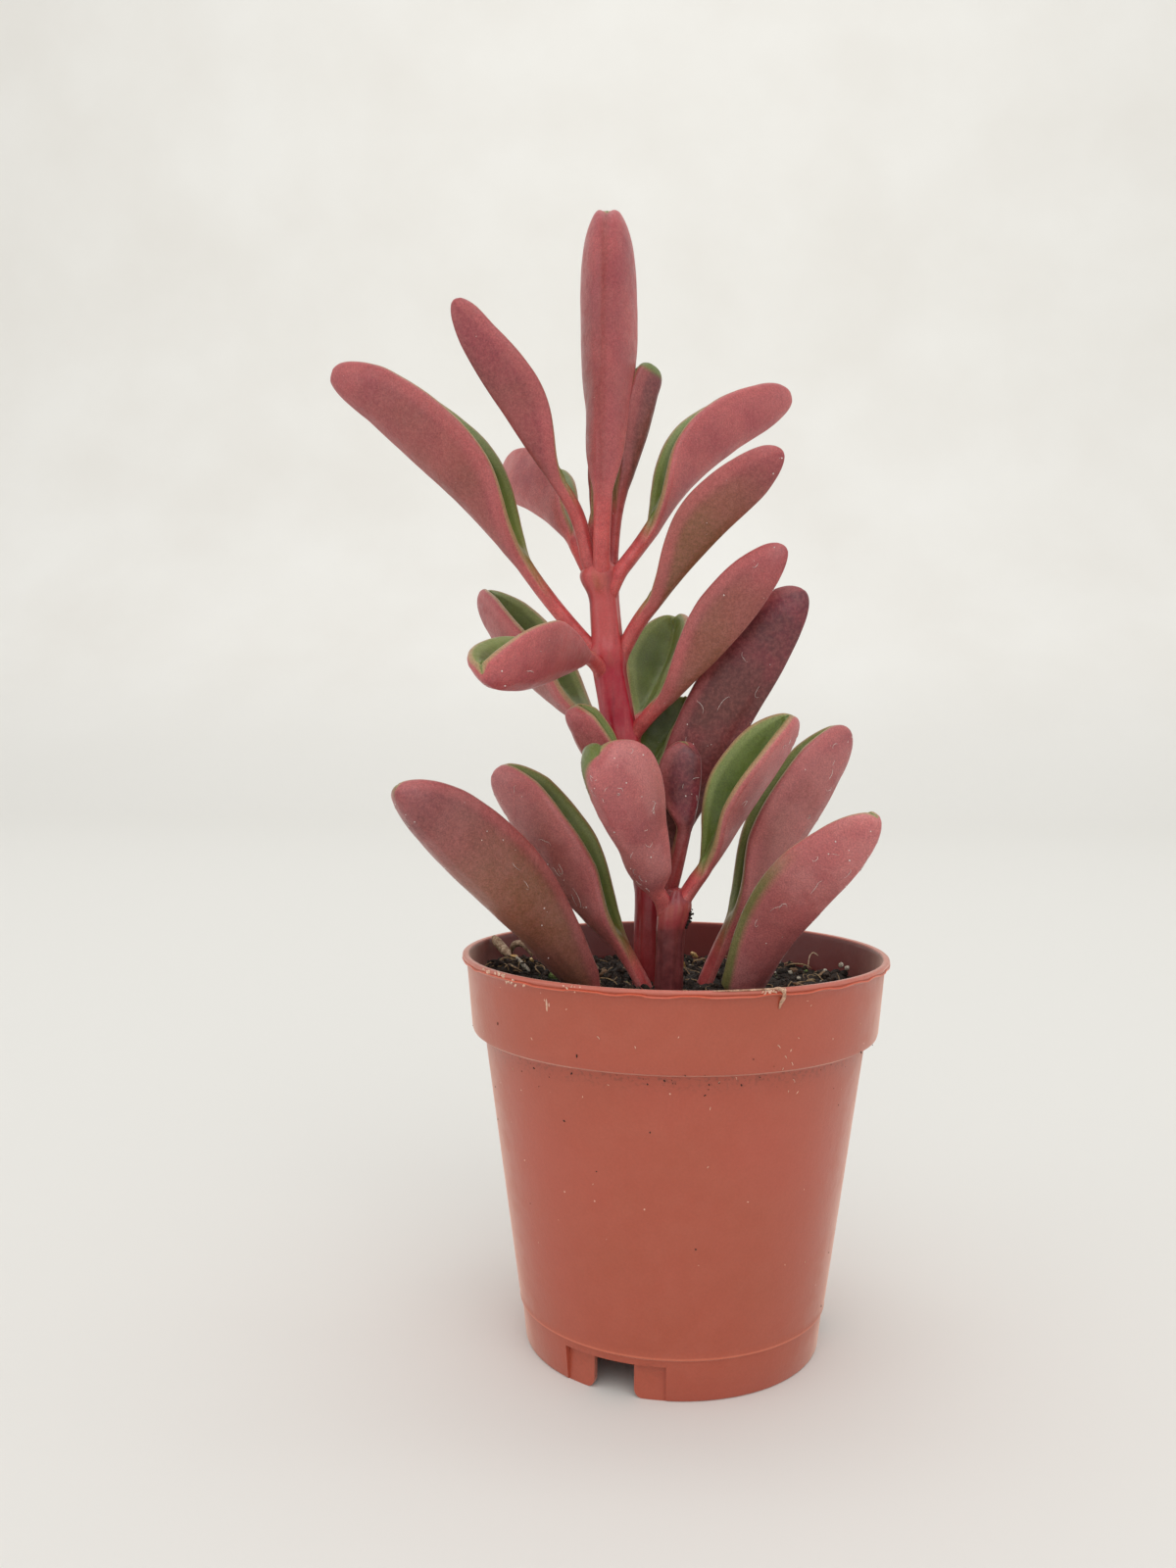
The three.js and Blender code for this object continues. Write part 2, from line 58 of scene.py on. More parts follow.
CAMERA_DISTANCE = 181.9
CAMERA_HEIGHT = 84.35
CAMERA_YAW = -0.068
CAMERA_PITCH = -0.034
CAMERA_ROLL = 0.006
LENS = 29.43
SENSOR_WIDTH = 36

# Pot

POT_HEIGHT = 54.6
LIP_RADIUS = 30.0
LIP_HEIGHT = 1.1
LIP_THICKNESS = 0.9
LIP_NOISE_CIRCLE = 40
COLLAR_TOP_RADIUS = 29.3
COLLAR_FOOT_RADIUS = 28.5
COLLAR_FOOT_Z = 43.7
BODY_TOP_RADIUS = 26.8
SEAM_RADIUS = 21.6
SEAM_Z = 5.9
FOOT_RADIUS = 20.75
FOOT_WALL = 1.2
FLOOR_Z = 5.0
WALL = 0.85
FOOT_NOTCHES = 3
FIRST_NOTCH_HEADING = -21
PANEL_ARC = 39
PANEL_TOP_Z = 4.7
PANEL_DEPTH = 0.3
NOTCH_WIDTH = 5.6
NOTCH_FLARE = 1.2
NOTCH_CORNER = 0.35
DRAIN_RADIUS = 2.2
DRAIN_FROM_AXIS = 15.0
POT_SEGMENTS = 240
CRISP_ANGLE = 38
MOULD_LINE_Z = 53.85

# Filling. Its noise is height, size and seed; a heap is height, place, and how wide and deep it is

SOIL_EDGE_Z = 48.8
SOIL_MOUND = 0.9
SOIL_RADIUS = 28.1
SOIL_RINGS = 96
SOIL_SEGMENTS = 200
SOIL_GAP = 0.3
SOIL_NOISE = [(0.55, 2.6, 1), (0.3, 1.1, 2), (0.16, 0.5, 3)]
HEAPS = [(3.1, -24, 2, 6.5, 8), (1.3, 24, 8, 3, 3.5)]

# Each stem is a list of (height, x, y, radius); the wider steps are the rings the leaves grow from

MAIN_REACH = 3.2
SHOOT_REACH = 2.3
STEM_SEGMENTS = 56
STEM_STEP = 0.3
STEM_NOISE_CIRCLE = 20
FULL_RING = 0.4
MAIN_STEM = [
    (44, -3.6, 0, 2.3), (50, -3.5, 0, 2.35), (63, -3.2, 0, 2.35), (64.5, -3.3, 0, 2.65),
    (66.5, -3.5, 0, 2.35), (73, -4.8, 0, 2.3), (75, -5.3, 0, 2.65), (77, -5.8, 0, 2.3),
    (82.4, -7.1, 0, 2.4), (84.4, -7.6, 0, 2.7), (86.4, -8, 0, 2.4), (94.5, -9.5, 0, 2.4),
    (96.5, -9.7, 0, 2.85), (98.8, -9.8, 0, 2.2), (104.6, -10.3, 0, 2.1), (105.8, -10.6, 0, 2.4),
    (107.2, -10.8, 0, 3.05), (108.3, -10.9, 0, 2.9), (109.2, -10.9, 0, 2), (110, -11, 0, 1.2),
]
FRONT_SHOOT = [
    (44, -0.8, -7, 1.85), (50, -0.7, -7, 1.9), (58, -0.5, -7, 1.95), (61, 0, -7, 2.3),
    (62.4, 0.2, -7, 2.3), (63.4, 0.3, -7, 1.7), (64.2, 0.4, -7, 0.9),
]

# Leaf form

LEAF_ROOT_Z = 46.0
KEEL_THICKNESS = 2.0
MARGIN_THICKNESS = 1.5
FOOT_FOLD = 0.55
FULLY_FOLDED_AT = 0.35
PETIOLE_RADIUS = 1.2
BULGE = 0.1
TIP_LIFT = 0.5
RIB_STEPS = 100
KEEL_ROUNDING = 0.14
VALLEY_ROUNDING = 0.25
ROOT_DROP = 4.5
ROOT_RINGS = 7
STALK_RINGS = 16
BLADE_RINGS = 60

# Points of a leaf's section: across its underside, over one rim and back across its hollow

UNDERSIDE_POINTS = 33
UNDER = np.linspace(-1, 1, UNDERSIDE_POINTS)
RIM = np.linspace(0, 1, 7)[1:-1]
INNER = np.linspace(1, -1, 27)

# Every leaf, as it grows: where its stalk starts, on a stem or rooted in the peat, the way it
# points, its slope at the stalk, the blade's foot and the tip, its lengths, width, fold and roll.
# Its colouring is how brown its underside is, how much painted shade darkens it (partly the leaf's
# own darker purple; below zero it is painted light, a paler pink), how strong the keel's line and
# the dust are, and where it turns green: the start and side of a green tip, or the side, share and
# end of a green edge. What a leaf doesn't say is as in PLAIN_LEAF.

PLAIN_LEAF = dict(
    stem=MAIN_STEM, moved=(0, 0, 0), sweep=0, roll=0, twist=0, belly=0.4, widest=0.54, blunt=2.2,
    foot=0.22, notch=0, stalk_radius=PETIOLE_RADIUS, keel_line=0, dust=0.06,
    green_tip=(2, 0), green_edge=(0, 2, 0),
)
LEAVES = dict(
    top_upright=dict(
        height=108.5, side=5, heading=2, sweep=4, rise=(75, 97, 77), stalk=10.5, blade=39, wing=8.5,
        fold=60, roll=-8, brown=0.1, painted_shade=0.05, keel_line=1, notch=1.6, widest=0.6, blunt=3.4,
        belly=0.1, moved=(0.1, 0, 0),
    ),
    top_left=dict(
        height=111, side=-65, heading=-74, sweep=6, rise=(77, 50, 59), stalk=9, blade=28.8, wing=6.7,
        fold=63, roll=-9, brown=0.15, painted_shade=0.5, keel_line=0.1, widest=0.5, belly=-0.5, blunt=1.7,
    ),
    top_back=dict(
        height=111, side=-165, heading=-168, rise=(80, 86, 84), stalk=6, blade=10, wing=2.4, fold=58,
        brown=0.1, painted_shade=0.6,
    ),
    upper_left_long=dict(
        height=96, side=-90, heading=-94, sweep=-5, rise=(47, 57, 23), stalk=16, blade=39.4, wing=10,
        fold=58, roll=-9, brown=0.35, painted_shade=0.2, widest=0.5, twist=12, belly=0.9, moved=(0.3, 0, 0.2),
        blunt=2,
    ),
    top_left_back=dict(
        height=110, side=-115, heading=-137, sweep=-9, rise=(48, 48, -8), stalk=4.5, blade=22.5,
        wing=8.5, fold=65, roll=25, brown=0, painted_shade=-0.25, belly=0.8, moved=(-0.35, 0, 0.1),
    ),
    top_right_back=dict(
        height=110.5, side=140, heading=113, sweep=8, rise=(86, 74, 68), stalk=9.5, blade=18.3, wing=4.7,
        fold=62, roll=-8, brown=0.35, painted_shade=0.9, moved=(0.6, 0, 0.3), blunt=5, green_tip=(0.9, 0),
        widest=0.7, foot=0.5,
    ),
    top_right=dict(
        height=107.8, side=85, heading=120, rise=(50, 54, 22), stalk=8, blade=31, wing=8, fold=64,
        brown=0.1, painted_shade=-0.1, widest=0.5, twist=-8, belly=-0.4, moved=(0.7, 0, -0.1),
    ),
    upper_right=dict(
        height=96.5, side=80, heading=69, sweep=-3, rise=(62, 46, 38), stalk=8, blade=26.5, wing=7,
        fold=63, roll=6, brown=1.25, painted_shade=0.35, moved=(-0.1, 0, -0.3), widest=0.56, belly=-0.4,
    ),
    upper_front=dict(
        height=94.4, side=0, heading=-21, sweep=-2, rise=(35, -13, -14), stalk=5, blade=25.8, wing=8.5,
        fold=52, roll=12, brown=0.15, painted_shade=-0.05, stalk_radius=1.1, moved=(-1.4, 1, -1.1),
    ),
    middle_left=dict(
        height=83.5, side=-130, heading=-134, sweep=5, rise=(39, 25, 43), stalk=5, blade=33, wing=8.6,
        fold=59, brown=0.4, painted_shade=0.2, belly=0.8,
    ),
    low_left_small=dict(
        height=73, side=0, heading=-70, sweep=-4, rise=(56, 54, 44), stalk=5, blade=13.5, wing=5.5,
        fold=50, roll=-22, brown=0.35, painted_shade=0.15, belly=0.8, moved=(-0.4, 0, -0.2),
    ),
    middle_right=dict(
        height=85, side=75, heading=71, sweep=-1, rise=(50, 43, 49), stalk=5.5, blade=27, wing=7.3,
        fold=65, roll=-12, brown=0.75, painted_shade=0.3, moved=(0, 0, 0.1),
    ),
    low_right_large=dict(
        height=62.5, side=95, heading=88, sweep=-10, rise=(71, 65, 55), stalk=3, blade=43.2, wing=9.6,
        fold=63, roll=-17, brown=0.25, painted_shade=1.1, moved=(-1.8, 0, 0.6), dust=0.0, foot=0.6, widest=0.6,
        blunt=2.8,
    ),
    middle_back=dict(
        height=85, side=155, heading=157, sweep=-9, rise=(22, 31, 60), stalk=4, blade=21.5, wing=8,
        fold=47, roll=-3, brown=0.1, painted_shade=0, moved=(0.3, 0, 0), notch=1.5,
    ),
    low_back_small=dict(
        height=76.5, side=140, heading=143, sweep=2, rise=(27, 38, 36), stalk=4, blade=15, wing=9.4,
        fold=48, roll=-5, brown=0.2, painted_shade=0.35, moved=(-1.8, 0, -0.6),
    ),
    shoot_small=dict(
        stem=FRONT_SHOOT, height=63, side=180, heading=58, rise=(74, 80, 78), stalk=9, blade=12.5,
        wing=5.8, fold=55, brown=0, painted_shade=1.5, keel_line=0.3, notch=1.2, dust=0.03,
    ),
    shoot_right=dict(
        stem=FRONT_SHOOT, height=62.5, side=85, heading=90, sweep=14, rise=(58, 63, 48), stalk=5,
        blade=23, wing=7.2, fold=56, roll=29, brown=0.15, painted_shade=0.1, dust=0.25,
    ),
    shoot_front=dict(
        stem=FRONT_SHOOT, height=61.5, side=-30, heading=-31.5, sweep=-2, rise=(48, 46, 51), stalk=3.5,
        blade=21.6, wing=9.7, fold=58, roll=12, brown=0.05, painted_shade=0, notch=0.8, dust=0.4,
        green_tip=(0.72, -1), widest=0.66, blunt=3, foot=0.35, moved=(-1, 0, 0.3),
    ),
    soil_right_back=dict(
        rooted=(4.5, 0.5), heading=103, sweep=-1, rise=(70, 57, 51), stalk=13, blade=32, wing=9, fold=66,
        roll=-1, brown=0.35, painted_shade=0.25, moved=(-0.2, 0, 0.1), dust=0.3, belly=0.7, foot=0.3,
    ),
    soil_right=dict(
        rooted=(9.5, -6), heading=43, sweep=-5, rise=(52, 51, 37), stalk=4, blade=33, wing=8.4, fold=55,
        roll=8, brown=0.15, painted_shade=0, moved=(-0.3, 0, 0.2), dust=0.45, belly=-0.3, foot=0.6, twist=-3,
        green_edge=(-1, 0.92, 0.75),
    ),
    soil_left=dict(
        rooted=(-9.8, -5), heading=-52, sweep=6, rise=(52, 46, 37), stalk=5, blade=39.6, wing=8.8,
        fold=46, roll=35, brown=1, painted_shade=0.72, dust=0.15, green_tip=(0.97, -1), foot=0.35,
    ),
    soil_left_back=dict(
        rooted=(-4.5, -4), heading=-95, sweep=1, rise=(67, 52, 44), stalk=11, blade=29, wing=9.4,
        fold=62, roll=-8, brown=0.15, painted_shade=0.2, dust=0.3, belly=1.3, foot=0.3, moved=(0.9, 0, 0),
    ),
)

# White hairs and pale dots that stick to each leaf

HAIRS = dict(
    low_right_large=(18, 12), shoot_front=(26, 20), shoot_small=(5, 5), shoot_right=(9, 8),
    soil_right_back=(20, 12), soil_right=(20, 16), soil_left=(6, 20), soil_left_back=(20, 14),
    upper_front=(2, 6), middle_right=(4, 6), middle_left=(0, 5), upper_right=(0, 5),
)

# Crumbs stuck on the lip, as heading, height and size

LIP_CRUMBS = [
    (-53, 54.2, 0.8), (-48, 54.4, 0.9), (-44, 53.6, 1.0),
    (-25, 54.2, 0.5), (21, 54.3, 0.6), (24, 54.4, 0.7),
]

# Scraped marks under the lip, as heading, top, bottom and thickness

SCRAPES = [(-32.6, 52.4, 50.6, 0.16), (-31.9, 51.9, 51.2, 0.1), (-33.2, 52.2, 51.9, 0.12)]

# Fine pale scratches on the outside of the pot, as heading, height and length

FINE_SCRATCHES = [
    (27, 47, 0.9), (29, 45.6, 0.8), (31, 44.6, 1), (33, 43.2, 0.9), (35, 41.8, 1), (36, 40.2, 0.8),
    (33, 40.6, 0.7), (30, 46.4, 0.7), (28, 44.2, 0.6), (10, 39.2, 0.9), (12, 42.6, 0.6), (-38, 46.6, 0.7),
    (-18, 48, 0.8), (-9, 47.2, 0.7), (-52, 41, 0.7), (-49, 38.6, 0.5), (17, 43, 0.8), (44, 47, 0.6),
]

# Routes of the scraps that lie where the photograph shows them

TWIG = [(-27.2, 8.8, 54.8), (-26.6, 8.5, 54.1), (-25.8, 7.8, 53.4), (-25, 6.6, 52.9), (-24.1, 4.8, 52.4)]
BENT_TWIG = [
    (-24.9, 12.4, 51.6), (-24.5, 12, 52.9), (-23.4, 11.4, 53.4), (-22.2, 11, 52.8), (-21.4, 10.6, 51.6),
]
WISP = [(19.8, 8.2, 50.8), (20, 9, 52.2), (20.6, 9.6, 53), (21.4, 9.2, 52.6)]
HANGING_ROOT = [
    (12.1, -27.2, 54.6), (12.4, -27.4, 54.66), (13, -27.2, 54.5), (13.35, -26.9, 54),
    (13.3, -26.5, 53.3), (13, -26.4, 52.7), (12.8, -26.35, 52),
]
LYING_ROOT_HEADINGS = (9, 13, 17, 20, 23, 27)
CLUMP_START, CLUMP_END = np.array([1.55, -7.6, 58.9]), np.array([2.45, -7.6, 61.1])

# Where single scraps lie, as x, y, size and lift, x and y, or x, y and size

YELLOW_CHIPS = [(0.8, 14, 1.9, 1), (3.2, 19, 1.3, 1.6), (-23.4, 4.4, 1.3, 0.5), (-20.6, 2.6, 0.8, 0.3)]
WHITE_LUMPS = [
    (18.4, 8), (17.4, 10.6), (24.6, 8.2), (23.8, 9.6), (25.4, 7.4), (22.6, 10.8), (15.4, 13), (14, 14),
]
PEAT_LUMPS = [(24, 9, 0.8), (25, 8, 0.6), (22.8, 10, 0.6), (5.4, 11.5, 1.6), (7, 14, 1.1), (-19.5, 6, 0.9)]


# Small helpers


def smooth(x):
    x = np.clip(x, 0, 1)
    return x * x * (3 - 2 * x)


def mix(a, b, share):
    return a + (b - a) * share


def heading_vector(degrees):
    angle = math.radians(degrees)
    return np.array([math.sin(angle), -math.cos(angle), 0])


def turned(vector, axis, angle):
    """A numpy vector turned about an axis."""
    return np.array(Matrix.Rotation(angle, 3, Vector(axis)) @ Vector(vector))


def angles_round(count):
    return np.arange(count) / count * 2 * math.pi


def around(radius, angle):
    """x and y of a point at a radius and an angle from the x axis."""
    return radius * math.cos(angle), radius * math.sin(angle)


def band(value, middle, spread):
    """One at a middle value, fading out over a spread on both sides."""
    return np.exp(-(((value - middle) / spread) ** 2))


def soft_noise(point, size, seed=0):
    """Smooth noise from -1 to 1 whose lumps are about size millimetres across."""
    return noise.noise(Vector(point) / size + Vector((seed * 7.3, seed * 3.1, seed * 5.7)))


def new_object(name, data):
    made = bpy.data.objects.new(name, data)
    bpy.context.scene.collection.objects.link(made)
    return made


class Bundle:
    """Meshes gathered into one piece, in millimetres about the pot's axis."""

    def __init__(self):
        self.points = []
        self.faces = []
        self.count = 0

    def add(self, points, faces):
        points = np.asarray(points, float)
        self.points.append(points)
        self.faces.extend([tuple(i + self.count for i in face) for face in faces])
        self.count += len(points)
        return self

    def make(self, name, material, slot, replaces=()):
        mesh = bpy.data.meshes.new(name)
        placed = (np.vstack(self.points) + AXIS) * MM
        mesh.from_pydata(placed.tolist(), [], self.faces)
        mesh.validate()
        mesh.polygons.foreach_set("use_smooth", [True] * len(mesh.polygons))
        mesh.materials.append(material)
        piece = new_object(name, mesh)
        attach(piece, "root")
        if replaces:
            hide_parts(*replaces)
        return piece


def paint(piece, name, values):
    """Keeps one number for each point of a piece, for its material to read."""
    layer = piece.data.attributes.new(name, "FLOAT", "POINT")
    layer.data.foreach_set("value", np.asarray(values, np.float32).ravel())


def grid_faces(rows, columns):
    """Quads between rows of points, joined round each row."""
    faces = []
    for start in range(0, (rows - 1) * columns, columns):
        for i in range(columns):
            j = (i + 1) % columns
            faces.append((start + i, start + j, start + columns + j, start + columns + i))
    return faces


def fan(first, count, middle):
    """Triangles from a ring of points to one in its middle."""
    return [(first + i, first + (i + 1) % count, middle) for i in range(count)]


def end_caps(rows, columns):
    """The two faces that close a grid at its first and last row."""
    last = (rows - 1) * columns
    return [tuple(reversed(range(columns))), tuple(range(last, last + columns))]


def tube(route, radius, sides=6):
    """A closed thin tube along a route, with its ends drawn to a point."""
    route = np.asarray(route, float)
    along = np.gradient(route, axis=0)
    along /= np.linalg.norm(along, axis=1)[:, None] + 1e-9
    side = np.cross(along, [0.31, 0.52, 0.79])
    side /= np.linalg.norm(side, axis=1)[:, None] + 1e-9
    other = np.cross(along, side)
    count = len(route)
    taper = np.minimum(1, 0.35 + 3 * np.minimum(np.arange(count), np.arange(count)[::-1]) / count)
    angles = angles_round(sides)
    rings = (
        route[:, None]
        + side[:, None] * (np.cos(angles)[None, :, None] * radius * taper[:, None, None])
        + other[:, None] * (np.sin(angles)[None, :, None] * radius * taper[:, None, None])
    )
    return rings.reshape(-1, 3), grid_faces(count, sides) + end_caps(count, sides)


def thread(points, count, radius, sides):
    """A thin tube along a smooth curve of count points through a few given ones."""
    points = np.array(points, float)
    route = []
    for value in np.linspace(0, len(points) - 1, count):
        i = min(int(value), len(points) - 2)
        f = value - i
        p0, p1 = points[max(i - 1, 0)], points[i]
        p2, p3 = points[i + 1], points[min(i + 2, len(points) - 1)]
        route.append(0.5 * (2 * p1 + (p2 - p0) * f + (2 * p0 - 5 * p1 + 4 * p2 - p3) * f**2
                            + (3 * p1 - p0 - 3 * p2 + p3) * f**3))
    return tube(route, radius, sides)


def ball(subdivisions):
    """Points and faces of a round ball of radius 1."""
    made = bmesh.new()
    bmesh.ops.create_icosphere(made, subdivisions=subdivisions, radius=1)
    points = np.array([v.co for v in made.verts])
    faces = [tuple(v.index for v in f.verts) for f in made.faces]
    made.free()
    return points, faces


def roughened(shape, share, rng):
    """A shape about its own middle with every point moved in or out at random."""
    return shape * (1 + share * rng.uniform(-1, 1, (len(shape), 1)))


def any_way(rng):
    return rng.random() * 6.28


# Shader helpers


def colour(red, green, blue):
    """A linear colour from the three values, 0 to 255, that a screen would show."""

    def linear(value):
        value /= 255
        return value / 12.92 if value <= 0.04045 else ((value + 0.055) / 1.055) ** 2.4

    return (linear(red), linear(green), linear(blue), 1)


class Recipe:
    """A node tree in the making. A socket takes a number, a colour or another node's output."""

    def __init__(self, tree):
        self.tree = tree

    def feed(self, node, sockets):
        for name, value in sockets.items():
            if isinstance(value, bpy.types.NodeSocket):
                self.tree.links.new(value, node.inputs[name])
            else:
                node.inputs[name].default_value = value

    def put(self, kind, sockets, **settings):
        made = self.tree.nodes.new("ShaderNode" + kind)
        for name, value in settings.items():
            setattr(made, name, value)
        self.feed(made, sockets)
        return made

    def maths(self, operation, first, second, clamp=False):
        return self.put("Math", {0: first, 1: second}, operation=operation, use_clamp=clamp).outputs[0]

    def times(self, first, second, clamp=False):
        return self.maths("MULTIPLY", first, second, clamp)

    def plus(self, first, second, clamp=False):
        return self.maths("ADD", first, second, clamp)

    def blend(self, share, first, second, strength=1.0, mode="MIX"):
        """Colour mixed from first towards second, each a socket or three screen values."""
        if strength != 1.0:
            share = self.times(share, strength)
        first, second = [colour(*c) if isinstance(c, tuple) else c for c in (first, second)]
        sockets = {0: share, 6: first, 7: second}
        return self.put("Mix", sockets, data_type="RGBA", blend_type=mode).outputs[2]

    def between(self, value, low, high, start=0.0, end=1.0):
        """Start below low and end above high, with a soft change in between."""
        sockets = {"Value": value, "From Min": low, "From Max": high, "To Min": start, "To Max": end}
        return self.put("MapRange", sockets, interpolation_type="SMOOTHSTEP").outputs[0]

    def painted(self, name):
        return self.put("Attribute", {}, attribute_name=name).outputs["Fac"]

    def place(self):
        return self.put("TexCoord", {}).outputs["Object"]

    def height(self):
        return self.put("SeparateXYZ", {0: self.place()}).outputs["Z"]

    def noise(self, place, size, detail):
        scale = self.maths("DIVIDE", 1 / MM, size)
        return self.put("TexNoise", {"Vector": place, "Scale": scale, "Detail": detail}).outputs[0]

    def use(self, group, **sockets):
        return self.put("Group", sockets, node_tree=group).outputs

    def patches(self, size, low, high, shift=0.0):
        return self.use(PATCHES, Size=size, Low=low, High=high, Shift=shift)["Mask"]

    def grain(self, shown, size, strength):
        return self.use(GRAIN, Colour=shown, Size=size, Strength=strength)

    def dust(self, shown, specks, spacing, speck, cover):
        sockets = dict(Colour=shown, Dust=colour(*specks), Spacing=spacing, Speck=speck, Cover=cover)
        return self.use(DUST, **sockets)["Colour"]


def new_group(name, inputs, outputs):
    """An empty shader node group with named sockets, and its way in and out."""
    tree = bpy.data.node_groups.new(name, "ShaderNodeTree")
    for socket, value in inputs.items():
        kind = "NodeSocketColor" if isinstance(value, tuple) else "NodeSocketFloat"
        tree.interface.new_socket(socket, in_out="INPUT", socket_type=kind).default_value = value
    for socket, kind in outputs.items():
        tree.interface.new_socket(socket, in_out="OUTPUT", socket_type="NodeSocket" + kind)
    return Recipe(tree), tree.nodes.new("NodeGroupInput").outputs, tree.nodes.new("NodeGroupOutput")


def patches_group():
    """Soft patches: a mask of lumps of a given size in millimetres."""
    inputs = {"Size": 4.0, "Low": 0.4, "High": 0.65, "Shift": 0.0}
    group, entry, leave = new_group("Soft patches", inputs, {"Mask": "Float"})
    moved = group.put("VectorMath", {0: group.place(), 1: entry["Shift"]}, operation="ADD").outputs[0]
    lumps = group.noise(moved, entry["Size"], 3.0)
    mask = group.put("MapRange", {"Value": lumps, "From Min": entry["Low"], "From Max": entry["High"]})
    group.feed(leave, {"Mask": mask.outputs[0]})
    return group.tree


def grain_group():
    """Fine grain: lightens and darkens a colour in tiny cells and gives their height."""
    inputs = {"Colour": (0.5, 0.5, 0.5, 1), "Size": 0.2, "Strength": 0.1}
    group, entry, leave = new_group("Fine grain", inputs, {"Colour": "Color", "Height": "Float"})
    cells = group.noise(group.place(), entry["Size"], 2.0)
    swing = group.times(group.maths("SUBTRACT", cells, 0.5), entry["Strength"])
    light = group.plus(group.times(swing, 4.0), 1.0)
    grey = group.put("CombineColor", {0: light, 1: light, 2: light}).outputs[0]
    shown = group.blend(1.0, entry["Colour"], grey, mode="MULTIPLY")
    group.feed(leave, {"Colour": shown, "Height": cells})
    return group.tree


def dust_group():
    """Dust: scattered tiny specks of another colour."""
    inputs = {
        "Colour": (0.5, 0.5, 0.5, 1), "Dust": (0.8, 0.8, 0.8, 1),
        "Spacing": 1.5, "Speck": 0.08, "Cover": 0.5,
    }
    group, entry, leave = new_group("Dust specks", inputs, {"Colour": "Color"})
    scale = group.maths("DIVIDE", 1 / MM, entry["Spacing"])
    cells = group.put("TexVoronoi", {"Vector": group.place(), "Scale": scale}).outputs
    reach = group.maths("DIVIDE", entry["Speck"], entry["Spacing"])
    near = group.maths("LESS_THAN", cells["Distance"], reach)
    picked = group.put("SeparateColor", {0: cells["Color"]}).outputs[0]
    mask = group.times(near, group.maths("LESS_THAN", picked, entry["Cover"]))
    group.feed(leave, {"Colour": group.blend(mask, entry["Colour"], entry["Dust"])})
    return group.tree


PATCHES = patches_group()
GRAIN = grain_group()
DUST = dust_group()


class Finish(Recipe):
    """A new material around one Principled shader."""

    def __init__(self, name):
        self.material = bpy.data.materials.new(name)
        self.material.use_nodes = True
        super().__init__(self.material.node_tree)

    def complete(self, sockets, height=None, relief=0.0):
        """Sets the shader's sockets. A height raises the surface by up to relief millimetres."""
        if height is not None:
            bump = self.put("Bump", {"Height": height, "Distance": relief * MM})
            sockets["Normal"] = bump.outputs[0]
        self.feed(self.tree.nodes["Principled BSDF"], sockets)
        return self.material


# Materials


